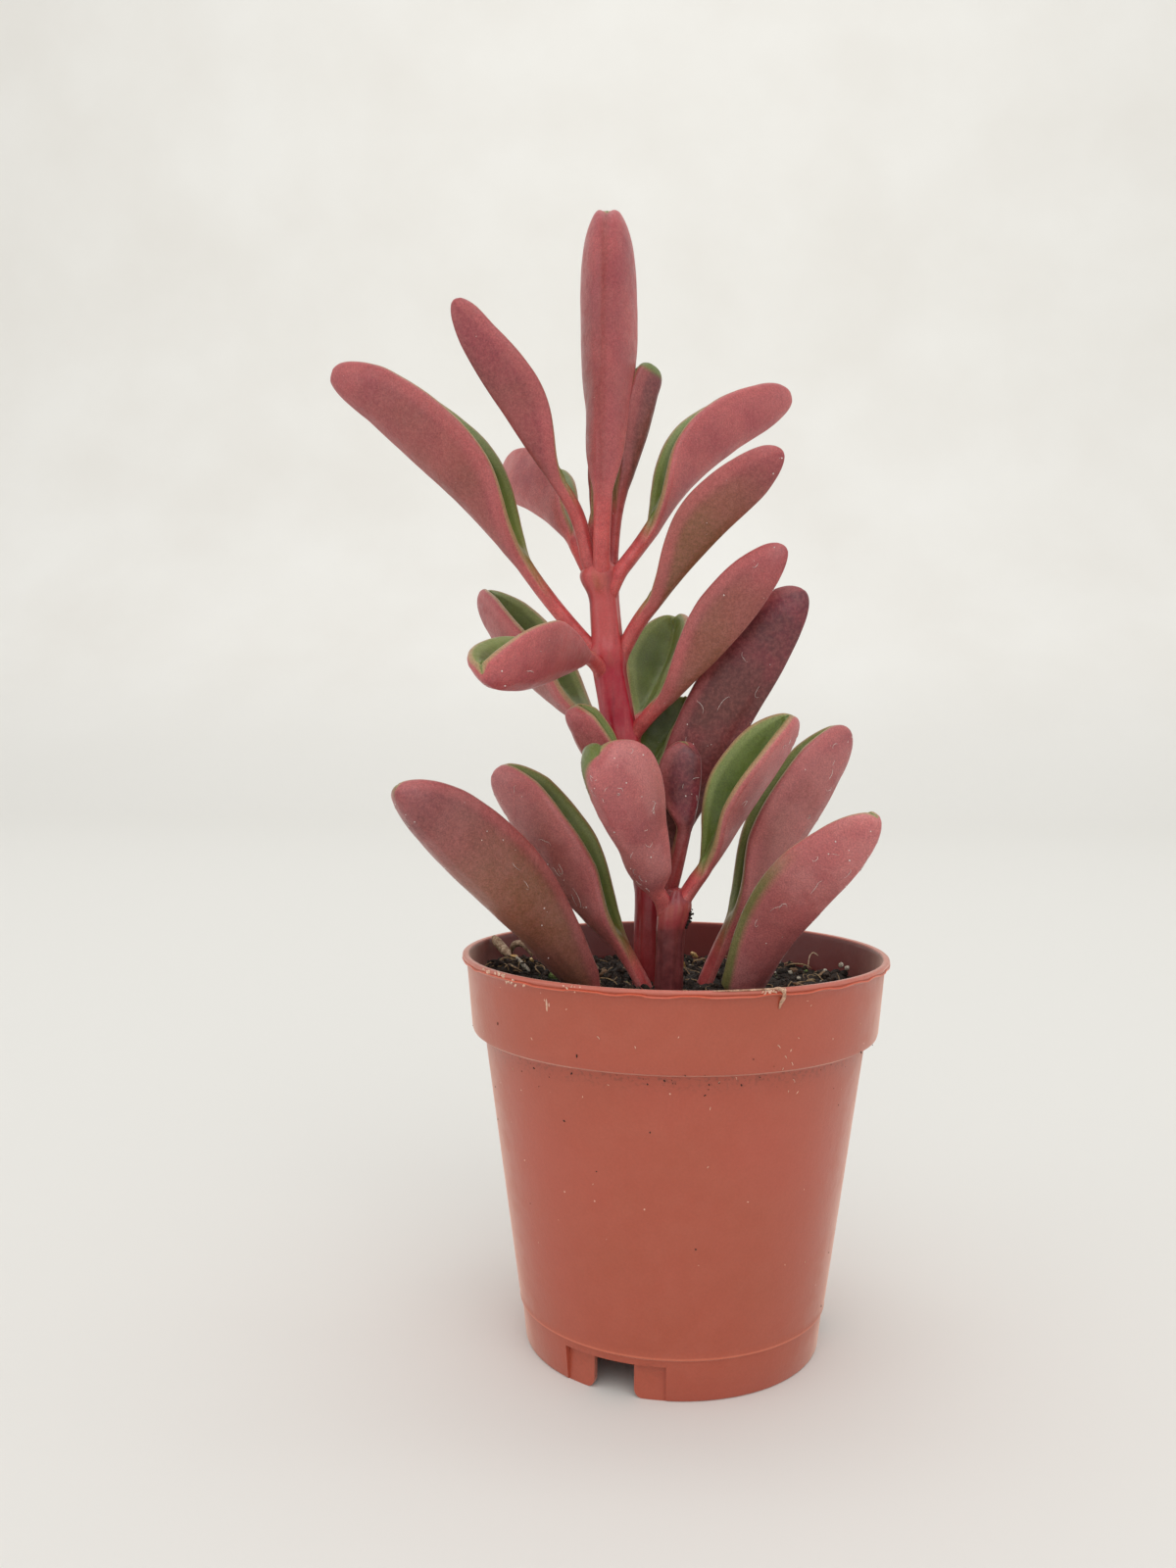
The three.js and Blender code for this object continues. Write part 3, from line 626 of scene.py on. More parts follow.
def leaf_skin():
    """Dusty ruby underside darkened by painted shade, olive hollow with a grey-green border, coral stalk.
    """
    leaf = Finish("leaf skin")
    hollow, edge, keel, blade = [leaf.painted(name) for name in ("hollow", "edge", "keel", "blade")]
    along, brown, painted_shade, line = [leaf.painted(name) for name in ("along", "brown", "painted_shade", "keel_line")]
    broad = leaf.patches(9.0, 0.35, 0.65)
    small = leaf.patches(1.6, 0.35, 0.7, 0.3)
    fine = leaf.patches(0.5, 0.4, 0.65, 0.7)
    cloud = leaf.patches(5.0, 0.45, 0.7, 1.3)
    film = leaf.patches(6.0, 0.4, 0.62, 2.1)

    # Painted shade: a leaf set darker gets a darker underside, partly its own darker purple, and one set
    # below zero gets painted light, a paler pink.
    darker = leaf.plus(leaf.times(painted_shade, 0.78), leaf.times(broad, 0.28), True)
    under = leaf.blend(darker, (176, 78, 82), (88, 34, 42))
    under = leaf.blend(leaf.between(painted_shade, 0.0, -0.3, 0.0, 0.6), under, (206, 124, 122))
    under = leaf.blend(cloud, under, (140, 42, 62), 0.5)
    browned = leaf.times(brown, leaf.between(along, 1.0, 0.4))
    browned = leaf.times(browned, leaf.between(edge, 0.2, 2.2, 0.35, 1.0))
    patchy = leaf.plus(leaf.times(broad, 0.35), 0.75)
    under = leaf.blend(leaf.times(browned, patchy, True), under, (122, 76, 46))
    # Paler pink along the margins: partly their own colour, partly painted light shining through the thin
    # edge.
    under = leaf.blend(leaf.between(edge, 1.4, 0.1), under, (196, 98, 96), 0.35)
    ridge = leaf.times(leaf.between(keel, 1.5, 0.1), line)
    under = leaf.blend(ridge, under, (136, 42, 40), 0.75)
    coral = leaf.blend(small, (200, 82, 80), (178, 62, 64))
    # Painted shade darkens the stalk too.
    coral = leaf.blend(leaf.times(painted_shade, 0.5, True), coral, (128, 40, 40))
    under = leaf.blend(blade, coral, under)
    dusted = leaf.times(leaf.painted("dust"), leaf.between(film, 0.0, 1.0, 0.6, 1.2))
    under = leaf.blend(dusted, under, (206, 142, 138))
    under = leaf.blend(fine, under, (210, 128, 120), 0.14)

    inside = leaf.blend(broad, (80, 96, 26), (102, 118, 46))
    inside = leaf.blend(leaf.between(edge, 1.6, 0.4, 0.0, 0.6), inside, (138, 150, 88))
    inside = leaf.blend(leaf.between(keel, 0.5, 0.1, 0.0, 0.4), inside, (126, 138, 84))
    inside = leaf.blend(blade, coral, inside)

    skin = leaf.blend(leaf.between(hollow, 0.5, 0.85), under, inside)
    rim = leaf.times(leaf.between(hollow, 0.4, 0.55), leaf.between(hollow, 0.95, 0.75))
    skin = leaf.blend(leaf.times(rim, leaf.times(blade, 0.7)), skin, (168, 142, 100))
    skin = leaf.blend(leaf.painted("green"), skin, (104, 118, 60))
    grain = leaf.grain(skin, 0.2, 0.26)
    return leaf.complete({
        "Base Color": leaf.dust(grain["Colour"], (214, 186, 180), 1.3, 0.06, 0.16),
        "Roughness": leaf.between(small, 0.0, 1.0, 0.36, 0.5), "Specular IOR Level": 0.5,
        "Sheen Weight": 0.1, "Sheen Roughness": 0.4, "Sheen Tint": (1, 0.66, 0.66, 1),
        "Subsurface Weight": 0.12, "Subsurface Radius": (0.0022, 0.0009, 0.0006), "Subsurface Scale": 1.0,
    }, leaf.plus(leaf.times(grain["Height"], 0.4), small), 0.05)


def stem_skin(name, lower, middle, upper, streak, change_low, change_high, fade):
    """Waxy stem whose colour changes up its height, with lengthwise streaks and a painted highlight on its
    rings.
    """
    stem = Finish(name)
    height = stem.height()
    drawn = stem.put("Mapping", {"Vector": stem.place(), "Scale": (420, 420, 30)}).outputs[0]
    streaks = stem.put("TexNoise", {"Vector": drawn, "Scale": 1.0, "Detail": 3.0}).outputs[0]
    small = stem.patches(1.4, 0.35, 0.7)
    low, high = change_low * MM, change_high * MM
    skin = stem.blend(stem.between(height, low, low + 12 * MM), lower, middle)
    skin = stem.blend(stem.between(height, high, high + fade * MM), skin, upper)
    skin = stem.blend(stem.between(streaks, 0.5, 0.68, 0.0, 0.7), skin, streak)
    skin = stem.blend(stem.between(streaks, 0.42, 0.3, 0.0, 0.4), skin, (206, 92, 98))
    skin = stem.blend(small, skin, (190, 104, 100), 0.2)
    # Paler coral over the rings where the stalks join: a painted highlight that makes the swellings show.
    skin = stem.blend(stem.painted("joint"), skin, (196, 84, 82), 0.45)
    skin = stem.blend(stem.painted("scar"), skin, (172, 108, 82), 0.6)
    return stem.complete({
        "Base Color": stem.grain(skin, 0.25, 0.12)["Colour"], "Roughness": 0.3,
        "Subsurface Weight": 0.12, "Subsurface Radius": (0.002, 0.0007, 0.0006), "Subsurface Scale": 1.0,
    }, stem.plus(streaks, stem.times(small, 0.5)), 0.05)


def pot_plastic():
    """Satin terracotta-coloured plastic, softly clouded. Painted light turns the thin lip orange and
    the seam pale; dirt and painted shade darken the inside.
    """
    pot = Finish("terracotta plastic")
    cloudy = pot.patches(3.0, 0.4, 0.7, 0.1)
    body = pot.blend(pot.patches(24.0, 0.3, 0.7), (176, 81, 62), (168, 80, 57))
    body = pot.blend(cloudy, body, (190, 112, 92), 0.1)
    # Darker inside the pot: partly dirt, partly painted shade.
    body = pot.blend(pot.painted("inside"), body, (110, 42, 38))
    body = pot.blend(pot.painted("bead"), body, (206, 122, 106), 0.55)
    # Orange along the lip's mould line: painted light shining through the thin plastic.
    body = pot.blend(pot.painted("lip"), body, (214, 98, 68))
    # A pale line along the seam ridge: painted highlight.
    body = pot.blend(pot.painted("seam"), body, (218, 122, 92), 0.7)
    smudged = pot.times(pot.painted("grime"), pot.patches(0.5, 0.52, 0.62))
    grain = pot.grain(pot.blend(smudged, body, (96, 56, 44)), 0.3, 0.05)
    return pot.complete({
        "Base Color": pot.dust(grain["Colour"], (216, 170, 150), 3.2, 0.11, 0.3),
        "Roughness": pot.between(cloudy, 0.0, 1.0, 0.34, 0.44), "Specular IOR Level": 0.55,
        "Sheen Weight": 0.9, "Sheen Roughness": 0.3, "Sheen Tint": (1, 0.7, 0.58, 1),
        "Subsurface Weight": 0.06, "Subsurface Radius": (0.0015, 0.0006, 0.0004), "Subsurface Scale": 1.0,
    }, pot.plus(pot.times(cloudy, 0.5), pot.times(grain["Height"], 0.3)), 0.04)


def earthy(name, dark, light, size, roughness=0.85, relief=0.25):
    """A crumbly natural surface between two colours."""
    earth = Finish(name)
    lumps = earth.patches(size, 0.35, 0.7)
    grain = earth.grain(earth.blend(lumps, dark, light), 0.18, 0.45)
    sockets = {"Base Color": grain["Colour"], "Roughness": roughness}
    return earth.complete(sockets, earth.plus(lumps, grain["Height"]), relief)


def pale_paper():
    """The plain pale ground and backdrop, with painted shade where the ground lies flat."""
    paper = Finish("pale paper")
    shown = paper.blend(paper.patches(180.0, 0.3, 0.7), (238, 236, 231), (243, 242, 238))
    # Darker where the sheet lies flat: painted shade on the floor.
    shown = paper.blend(paper.between(paper.height(), 0.25, 0.0), shown, (232, 231, 227))
    return paper.complete({"Base Color": shown, "Roughness": 0.9, "Specular IOR Level": 0.1})


LEAF_SKIN = leaf_skin()
MAIN_SKIN = stem_skin("crimson stem", (154, 50, 54), (166, 8, 42), (188, 76, 76), (112, 24, 44), 56, 95, 5)
SHOOT_SKIN = stem_skin("maroon shoot", (92, 40, 42), (98, 42, 44), (140, 48, 56), (124, 50, 52), 48, 58, 2)
PLASTIC = pot_plastic()
PEAT = earthy("peat", (26, 19, 15), (58, 44, 34), 1.1, relief=0.4)
CRUMB = earthy("peat crumb", (24, 18, 15), (72, 54, 40), 0.8)
BARK = earthy("bark chip", (92, 66, 46), (160, 126, 92), 0.9)
FIBRE = earthy("dry fibre", (120, 92, 62), (188, 160, 118), 0.7, 0.7, 0.05)
PALE = earthy("pale crumb", (170, 160, 140), (222, 216, 200), 0.6)
ROOT = earthy("dry root", (150, 104, 80), (216, 178, 150), 0.8, 0.7, 0.05)
BRANCH = earthy("dry twig", (136, 106, 80), (206, 182, 152), 0.7, 0.7, 0.1)
MOSS = earthy("green shred", (84, 108, 48), (140, 158, 82), 0.7, 0.6)
THREAD = earthy("white thread", (206, 190, 184), (236, 226, 220), 0.6, 0.5, 0.02)
STRAW = earthy("straw chip", (206, 160, 92), (232, 200, 140), 0.9, 0.6)
SCRAPE = earthy("pale scrape", (208, 160, 134), (236, 206, 184), 0.5, 0.6, 0.05)
DARK_SPECK = earthy("dark speck", (34, 24, 20), (70, 46, 36), 0.4)


# Pot


def wall_point(z, shift=0.0):
    """A point of the section on the inside of the pot's wall."""
    share = (z - SEAM_Z) / (COLLAR_FOOT_Z - SEAM_Z)
    return mix(SEAM_RADIUS, BODY_TOP_RADIUS, share) - WALL + shift, z


def stepped(radius, z, *steps):
    """Points of the section, each given as a step outwards and up from one place."""
    return [(radius + out, z + up) for out, up in steps]


def straight(start, end, shares):
    """Points of the section on a straight line."""
    return [(mix(start[0], end[0], t), mix(start[1], end[1], t)) for t in shares]


def pot_profile():
    """Radius and height round the cup's section, from the underside of the floor outwards."""
    foot_inside = FOOT_RADIUS - FOOT_WALL
    foot = [(foot_inside, FLOOR_Z), (foot_inside, 0.15), (foot_inside + 0.15, 0)]
    foot += stepped(FOOT_RADIUS, 0, (-0.4, 0), (-0.12, 0.1), (0, 0.35))
    seam = stepped(SEAM_RADIUS, SEAM_Z, (-0.27, -0.3), (-0.02, -0.16), (0.04, 0), (-0.01, 0.2))
    shares = np.linspace(0.03, 0.985, 18)
    body = straight((SEAM_RADIUS, SEAM_Z), (BODY_TOP_RADIUS, COLLAR_FOOT_Z), shares)
    step = stepped(BODY_TOP_RADIUS, COLLAR_FOOT_Z, (0.05, -0.2), (0.35, 0))
    step += stepped(COLLAR_FOOT_RADIUS, COLLAR_FOOT_Z, (-0.55, 0.1), (-0.16, 0.36))
    low, high = (COLLAR_FOOT_RADIUS, COLLAR_FOOT_Z + 0.85), (COLLAR_TOP_RADIUS, POT_HEIGHT - 1.2)
    collar = straight(low, high, np.linspace(0, 1, 8))
    lip = [(COLLAR_TOP_RADIUS + 0.08, POT_HEIGHT - 1.08), (LIP_RADIUS - 0.42, POT_HEIGHT - 0.98)]
    lip += stepped(
        LIP_RADIUS, MOULD_LINE_Z,
        (-0.3, -0.14), (-0.06, -0.1), (0, 0), (-0.08, 0.1), (-0.22, 0.14), (-0.12, 0.26),
    )
    lip += stepped(
        LIP_RADIUS, POT_HEIGHT,
        (-0.06, -0.32), (-0.1, -0.16), (-0.24, -0.04), (-0.5, 0), (-0.85, -0.06), (-1.02, -0.3),
    )
    high, low = (LIP_RADIUS - 1.1, POT_HEIGHT - 0.8), (COLLAR_FOOT_RADIUS - WALL, COLLAR_FOOT_Z + 2)
    inner = straight(high, low, np.linspace(0, 1, 7))
    inner += [wall_point(COLLAR_FOOT_Z, 0.1), wall_point(COLLAR_FOOT_Z - 0.8)]
    inner += [wall_point(FLOOR_Z + WALL + 0.6), wall_point(FLOOR_Z + WALL, -0.5)]
    return foot + seam + body + step + collar + lip + inner


def lip_noise(angle, size, seed=0):
    return soft_noise((*around(LIP_NOISE_CIRCLE, angle), 0), size, seed)


def mould_line_rise(angle):
    """How the thin line left by the mould wanders up and down round the lip."""
    return 0.16 * math.tanh(5 * lip_noise(angle, 4.5)) + 0.06 * lip_noise(angle, 1.3, 2)


def lip_waviness(radius, z, angle):
    """Outward and upward shift of a point of the moulded lip, most of all on its mould line."""
    if z < POT_HEIGHT - LIP_HEIGHT or radius < LIP_RADIUS - LIP_THICKNESS:
        return 0.0, 0.0
    near_line = max(0.0, 1 - abs(z - MOULD_LINE_Z) / 0.3)
    return -0.05 * abs(lip_noise(angle, 3, 4)), near_line * mould_line_rise(angle)


def closed_block(first, second):
    """A closed block between two outlines that face each other."""
    made = bmesh.new()
    near = [made.verts.new(point) for point in first]
    far = [made.verts.new(point) for point in second]
    made.faces.new(near)
    made.faces.new(list(reversed(far)))
    for i in range(len(near)):
        j = (i + 1) % len(near)
        made.faces.new((near[j], near[i], far[i], far[j]))
    bmesh.ops.recalc_face_normals(made, faces=made.faces)
    return made


def notch_cutter(degrees):
    half = NOTCH_WIDTH / 2
    right = [(half + NOTCH_FLARE, -1)]
    for a in np.linspace(0, math.pi / 2, 6):
        right.append((half + NOTCH_FLARE * (1 - math.sin(a)), NOTCH_FLARE * (1 - math.cos(a))))
    for a in np.linspace(0, math.pi / 2, 4):
        across, down = NOTCH_CORNER * (1 - math.cos(a)), NOTCH_CORNER * (1 - math.sin(a))
        right.append((half - across, PANEL_TOP_Z - down))
    outline = right + [(-x, z) for x, z in reversed(right)]
    made = closed_block([(x, 0, z) for x, z in outline], [(x, 6, z) for x, z in outline])
    turn = Matrix.Rotation(math.radians(degrees), 4, "Z")
    made.transform(turn @ Matrix.Translation((0, -FOOT_RADIUS - 3, 0)))
    return made


def panel_cutter(degrees):
    half = math.radians(PANEL_ARC / 2)
    angles = np.linspace(-half, half, 24) - math.pi / 2 + math.radians(degrees)
    inner, outer = FOOT_RADIUS - PANEL_DEPTH, FOOT_RADIUS + 3
    ring = [around(inner, a) for a in angles] + [around(outer, a) for a in reversed(angles)]
    return closed_block([(x, y, -1) for x, y in ring], [(x, y, PANEL_TOP_Z) for x, y in ring])


def drain_cutter(degrees):
    made = bmesh.new()
    radius = DRAIN_RADIUS
    bmesh.ops.create_cone(made, cap_ends=True, segments=40, radius1=radius, radius2=radius, depth=4)
    spot = Vector(heading_vector(degrees) * DRAIN_FROM_AXIS) + Vector((0, 0, FLOOR_Z))
    made.transform(Matrix.Translation(spot))
    return made


def carve(piece, cutters):
    """Cuts closed blocks, in millimetres about the pot's axis, out of a piece."""
    tools = []
    for cutter in cutters:
        cutter.transform(Matrix.Scale(MM, 4) @ Matrix.Translation(Vector(AXIS)))
        mesh = bpy.data.meshes.new("cutter")
        cutter.to_mesh(mesh)
        cutter.free()
        tool = new_object("cutter", mesh)
        modifier = piece.modifiers.new("cut", "BOOLEAN")
        modifier.object = tool
        modifier.operation = "DIFFERENCE"
        modifier.solver = "EXACT"
        tools.append(tool)
    graph = bpy.context.evaluated_depsgraph_get()
    result = bpy.data.meshes.new_from_object(piece.evaluated_get(graph))
    piece.modifiers.clear()
    piece.data = result
    for tool in tools:
        bpy.data.objects.remove(tool)


def crease(piece, degrees):
    """Keeps edges sharper than an angle crisp, and shades the rest smooth."""
    made = bmesh.new()
    made.from_mesh(piece.data)
    for face in made.faces:
        face.smooth = True
    for edge in made.edges:
        edge.smooth = len(edge.link_faces) != 2 or edge.calc_face_angle(0) < math.radians(degrees)
    made.to_mesh(piece.data)
    made.free()


def make_pot():
    points = []
    profile = pot_profile()
    for radius, z in profile:
        for angle in angles_round(POT_SEGMENTS):
            wide, rise = lip_waviness(radius, z, angle)
            points.append((*around(radius + wide, angle), z + rise))
    faces = grid_faces(len(profile), POT_SEGMENTS) + end_caps(len(profile), POT_SEGMENTS)
    pot = Bundle().add(points, faces).make("nursery_pot", PLASTIC, "pot_plastic", ["pot"])
    cutters = []
    for i in range(FOOT_NOTCHES):
        degrees = FIRST_NOTCH_HEADING + i * 360 / FOOT_NOTCHES
        cutters += [panel_cutter(degrees), notch_cutter(degrees), drain_cutter(degrees)]
    carve(pot, cutters)
    crease(pot, CRISP_ANGLE)

    place = np.array([v.co for v in pot.data.vertices]) / MM - AXIS
    radius, z = np.hypot(place[:, 0], place[:, 1]), place[:, 2]
    wall = np.interp(z, [SEAM_Z, COLLAR_FOOT_Z, COLLAR_FOOT_Z + 1, POT_HEIGHT - 0.3],
                     [SEAM_RADIUS, BODY_TOP_RADIUS, COLLAR_FOOT_RADIUS, COLLAR_TOP_RADIUS + 0.3])
    # Inside the wall, where the colour is darker: partly dirt, partly painted shade.
    paint(pot, "inside", (radius < wall - 0.45) & (z > FLOOR_Z + 0.4) & (z < POT_HEIGHT - 0.2))
    # Painted light: the orange band along the lip's mould line stands for light shining through the thin
    # plastic.
    wander = np.array([mould_line_rise(math.atan2(y, x)) for x, y, _ in place])
    paint(pot, "lip", band(z, MOULD_LINE_Z + wander, 0.13) * (radius > LIP_RADIUS - 0.45))
    above_line = np.clip((z - MOULD_LINE_Z - 0.2) / 0.15, 0, 1)
    paint(pot, "bead", above_line * (radius > LIP_RADIUS - LIP_THICKNESS))
    # The seam's pale line is a painted highlight.
    paint(pot, "seam", band(z, SEAM_Z, 0.12) * (radius > SEAM_RADIUS - 0.4))
    paint(pot, "grime", 0.4 * (band(z, COLLAR_FOOT_Z - 0.5, 0.4) + band(z, PANEL_TOP_Z + 0.3, 0.3)))


# Stems


def stem_at(table, z):
    """Centre and radius of a stem at a height, straight between the rows of its table."""
    heights, *columns = zip(*table)
    return [np.interp(z, heights, column) for column in columns]


def eased_stem(table, z):
    """The same stem with its rings rounded off, as the finished one shows them."""
    return np.mean([stem_at(table, z + shift) for shift in (-0.9, -0.6, -0.3, 0, 0.3, 0.6, 0.9)], axis=0)


def make_stem(name, node, table, material, slot, seed):
    heights = np.arange(table[0][0], table[-1][0] + 0.01, STEM_STEP)
    points, scars, joints = [], [], []
    for z in heights:
        x, y, radius = eased_stem(table, z)
        plain = np.median([stem_at(table, z + shift)[2] for shift in (-4, 0, 4)])
        joint = min(1.0, max(0.0, radius - plain) / FULL_RING)
        for angle in angles_round(STEM_SEGMENTS):
            spot = (*around(STEM_NOISE_CIRCLE, angle), z)
            furrow = 0.05 * math.sin(5 * angle + 0.06 * z) + 0.04 * math.sin(9 * angle + 1.3)
            rough = 0.09 * soft_noise(spot, 6, seed) + 0.03 * soft_noise(spot, 1.6, seed + 3)
            out_x, out_y = around(radius + furrow * (1 - joint) + rough, angle)
            points.append((x + out_x, y + out_y, z))
            scars.append(joint * max(0.0, soft_noise(spot, 5, seed + 8) + 0.1))
            joints.append(joint)
    bottom, _ = end_caps(len(heights), STEM_SEGMENTS)
    last = (len(heights) - 1) * STEM_SEGMENTS
    faces = grid_faces(len(heights), STEM_SEGMENTS) + [bottom] + fan(last, STEM_SEGMENTS, len(points))
    points.append((*eased_stem(table, heights[-1])[:2], heights[-1] + STEM_STEP))
    stem = Bundle().add(points, faces).make(name, material, slot, [node])
    paint(stem, "scar", scars + [0])
    # How much of a ring each point is; the skin paints a highlight there.
    paint(stem, "joint", joints + [0])


# Leaves


def tip_fade(leaf, u):
    """How the blade narrows from its widest place to its tip."""
    x = max(0.0, (u - leaf["widest"]) / (1 - leaf["widest"]))
    return math.sqrt(max(0.0, 1 - x ** leaf["blunt"]))


def wing_share(leaf, u):
    swell = math.sin(min(u / leaf["widest"], 1) * math.pi / 2) ** 1.25
    return (leaf["foot"] + (1 - leaf["foot"]) * swell) * tip_fade(leaf, u)


def leaf_start(leaf):
    if "rooted" in leaf:
        return np.array([*leaf["rooted"], LEAF_ROOT_Z], float) + leaf["moved"]
    x, y, _ = stem_at(leaf["stem"], leaf["height"])
    reach = MAIN_REACH if leaf["stem"] is MAIN_STEM else SHOOT_REACH
    return np.array([x, y, leaf["height"]]) + heading_vector(leaf["side"]) * reach + leaf["moved"]


def rib_of(leaf):
    """Arrays along the leaf's keel: distance, place, direction and heading."""
    length = leaf["stalk"] + leaf["blade"]
    start, foot, tip = leaf["rise"]
    point = leaf_start(leaf)
    rows = []
    for i in range(RIB_STEPS + 1):
        s = i / RIB_STEPS * length
        u = min(max((s - leaf["stalk"]) / leaf["blade"], 0), 1)
        turn = smooth(s / (1.3 * leaf["stalk"]))
        rise = math.radians(start + (foot - start) * turn + (tip - foot) * u)
        way = leaf["heading"] + leaf["sweep"] * u
        along = heading_vector(way) * math.cos(rise) + np.array([0, 0, math.sin(rise)])
        if i:
            point = point + along * length / RIB_STEPS
        rows.append((s, point, along, way))
    return [np.array(column) for column in zip(*rows)]


def eased_share(share, rounding):
    """A share from the keel to the rim, rounded off at the keel."""
    return (np.sqrt(share**2 + rounding**2) - rounding) / (math.sqrt(1 + rounding**2) - rounding)


def blade_section(wing, fold, keel, margin):
    """Points of a folded section, from the left margin under the keel, round and back inside."""
    c, k = math.cos(fold), math.sin(fold)
    wing = wing - min(0.35 * margin, 0.3 * wing)
    t, a = np.abs(UNDER), np.abs(INNER)
    bulge = BULGE * wing * (1 - (2 * t - 1) ** 2) * smooth(t / 0.3)
    lift = eased_share(t, KEEL_ROUNDING) * wing * k
    under = np.stack([np.sign(UNDER) * (t * wing * c + bulge * k), lift - bulge * c], 1)
    phi = np.radians(180 * RIM - 90)
    out = wing + margin / 2 * np.cos(phi)
    up = margin / 2 * (1 + np.sin(phi))
    right_rim = np.stack([out * c - up * k, out * k + up * c], 1)
    end_x, end_y = wing * c - margin * k, wing * k + margin * c
    depth = mix(keel / c, end_y, eased_share(a, VALLEY_ROUNDING))
    inner = np.stack([INNER * end_x * (1 - 0.15 * np.sin(np.pi * a)), depth], 1)
    return np.vstack([under, right_rim, inner, right_rim[::-1] * [-1, 1]])


def stalk_section(radius):
    """Points of a round stalk, in the same order as a blade's section."""
    angles = np.radians(np.concatenate([75 * UNDER - 90, 30 * RIM - 15, 90 - 75 * INNER, 30 * RIM + 165]))
    return np.stack([radius * np.cos(angles), radius + 0.9 * radius * np.sin(angles)], 1)


def section_at(leaf, s):
    """Section points, how far they are lifted, how much of a blade they are, and the wing's width."""
    round_part = stalk_section(leaf["stalk_radius"])
    if s < 0.5 * leaf["stalk"]:
        return round_part, 0.0, 0.0, PETIOLE_RADIUS
    inside = max((s - leaf["stalk"]) / leaf["blade"], 0.0)
    wing = wing_share(leaf, inside) * leaf["wing"]
    fold = math.radians(leaf["fold"] * mix(FOOT_FOLD, 1, smooth(inside / FULLY_FOLDED_AT)))
    thickest = 0.85 * wing / math.tan(fold)
    flat_part = blade_section(wing, fold, min(KEEL_THICKNESS, thickest), min(MARGIN_THICKNESS, thickest))
    share = float(smooth((s / leaf["stalk"] - 0.5) / 0.75))
    belly = leaf["belly"] * math.sin(math.pi * min(inside / 0.8, 1))
    high = leaf["wing"] * math.sin(math.radians(leaf["fold"]))
    lift = TIP_LIFT * high * (1 - tip_fade(leaf, inside)) ** 1.1
    return mix(round_part, flat_part, share), lift - belly, share, wing


def ring_labels(wing):
    """For each point of a section: inside or not, and its distance from the rim and the keel."""
    outermost = np.ones(len(RIM))
    hollow = np.concatenate([0 * UNDER, RIM, 0 * INNER + 1, RIM[::-1]])
    keel = wing * np.concatenate([np.abs(UNDER), outermost, np.abs(INNER), outermost])
    return hollow, wing - keel, keel


def side_of_keel():
    """For each point of a section: from -1 at the left rim to 1 at the right one."""
    return np.concatenate([UNDER, np.ones(len(RIM)), INNER, -np.ones(len(RIM))])


def leaf_stations(leaf):
    stalk = np.linspace(0, leaf["stalk"], STALK_RINGS, endpoint=False)
    u = 1 - (1 - np.arange(BLADE_RINGS) / BLADE_RINGS) ** 1.7
    return np.concatenate([stalk, leaf["stalk"] + u * leaf["blade"]])


def sweep_leaf(leaf, seed):
    """Rings of points of a finished leaf, with what its skin needs to know at each point."""
    s_table, places, directions, headings = rib_of(leaf)
    rings, labels = [], []
    stations = leaf_stations(leaf)
    for s in stations:
        place = np.array([np.interp(s, s_table, column) for column in places.T])
        along = np.array([np.interp(s, s_table, column) for column in directions.T])
        along /= np.linalg.norm(along)
        section, lift, share, wing = section_at(leaf, s)
        u = max(0.0, (s - leaf["stalk"]) / leaf["blade"])
        roll = math.radians(leaf["roll"] + leaf["twist"] * u) * float(smooth(s / leaf["stalk"]))
        side = heading_vector(np.interp(s, s_table, headings) + 90)
        up = np.cross(along, side)
        side, up = turned(side, along, roll), turned(up, along, roll)
        hollow, edge, keel = ring_labels(wing)
        ring = place + section[:, :1] * side + (section[:, 1:] + lift) * up
        near_keel = np.clip(1 - keel / (0.45 * leaf["wing"]), 0, 1) ** 1.3
        ring -= along * (leaf["notch"] * near_keel * float(smooth((u - 0.8) / 0.2)))[:, None]
        rings.append(ring)
        labels.append(np.stack([hollow, edge, keel, 0 * keel + share, 0 * keel + u], 1))
    rings, labels = np.array(rings), np.array(labels)
    outward = np.cross(np.gradient(rings, axis=1), np.gradient(rings, axis=0))
    outward /= np.linalg.norm(outward, axis=2)[..., None] + 1e-9
    for row in range(1, len(stations) - 3):
        for column in range(rings.shape[1]):
            point = rings[row, column]
            wave = 0.13 * soft_noise(point, 7, seed) + 0.035 * soft_noise(point, 2.2, seed + 1)
            rings[row, column] = point + outward[row, column] * wave * labels[row, column, 3]
    return rings, labels


def root_rings(leaf, first, along):
    """The stalk's foot, which bends down into its stem and widens a little on the way."""
    if "rooted" in leaf:
        return []
    centre = first.mean(axis=0)
    low = leaf["height"] - ROOT_DROP * max(0.25, along[2])
    x, y, _ = stem_at(leaf["stem"], low)
    aim = np.array([x, y, low]) + 0.3 * heading_vector(leaf["side"])
    bend = centre - along * 0.5 * np.linalg.norm(aim - centre)
    made = []
    for t in np.linspace(1, 1 / ROOT_RINGS, ROOT_RINGS):
        place = (1 - t) ** 2 * centre + 2 * t * (1 - t) * bend + t**2 * aim
        made.append(place + (first - centre) * (1 + 0.45 * t))
    return made


def greenness(leaf, across, keel, blade, along):
    """How green each point of a leaf's skin is, at its tip and along an edge."""
    start, tip_side = leaf["green_tip"]
    on_side = smooth((across * tip_side - 0.2) / 0.25) if tip_side else 1
    tip = smooth((along - start) / 0.06 + 0.3 * (keel / leaf["wing"])) * on_side
    edge_side, edge_share, edge_end = leaf["green_edge"]
    strip = 0.85 * smooth((across * edge_side - edge_share) / 0.04) * smooth((edge_end - along) / 0.3)
    return np.maximum(tip, strip * (blade > 0.4))


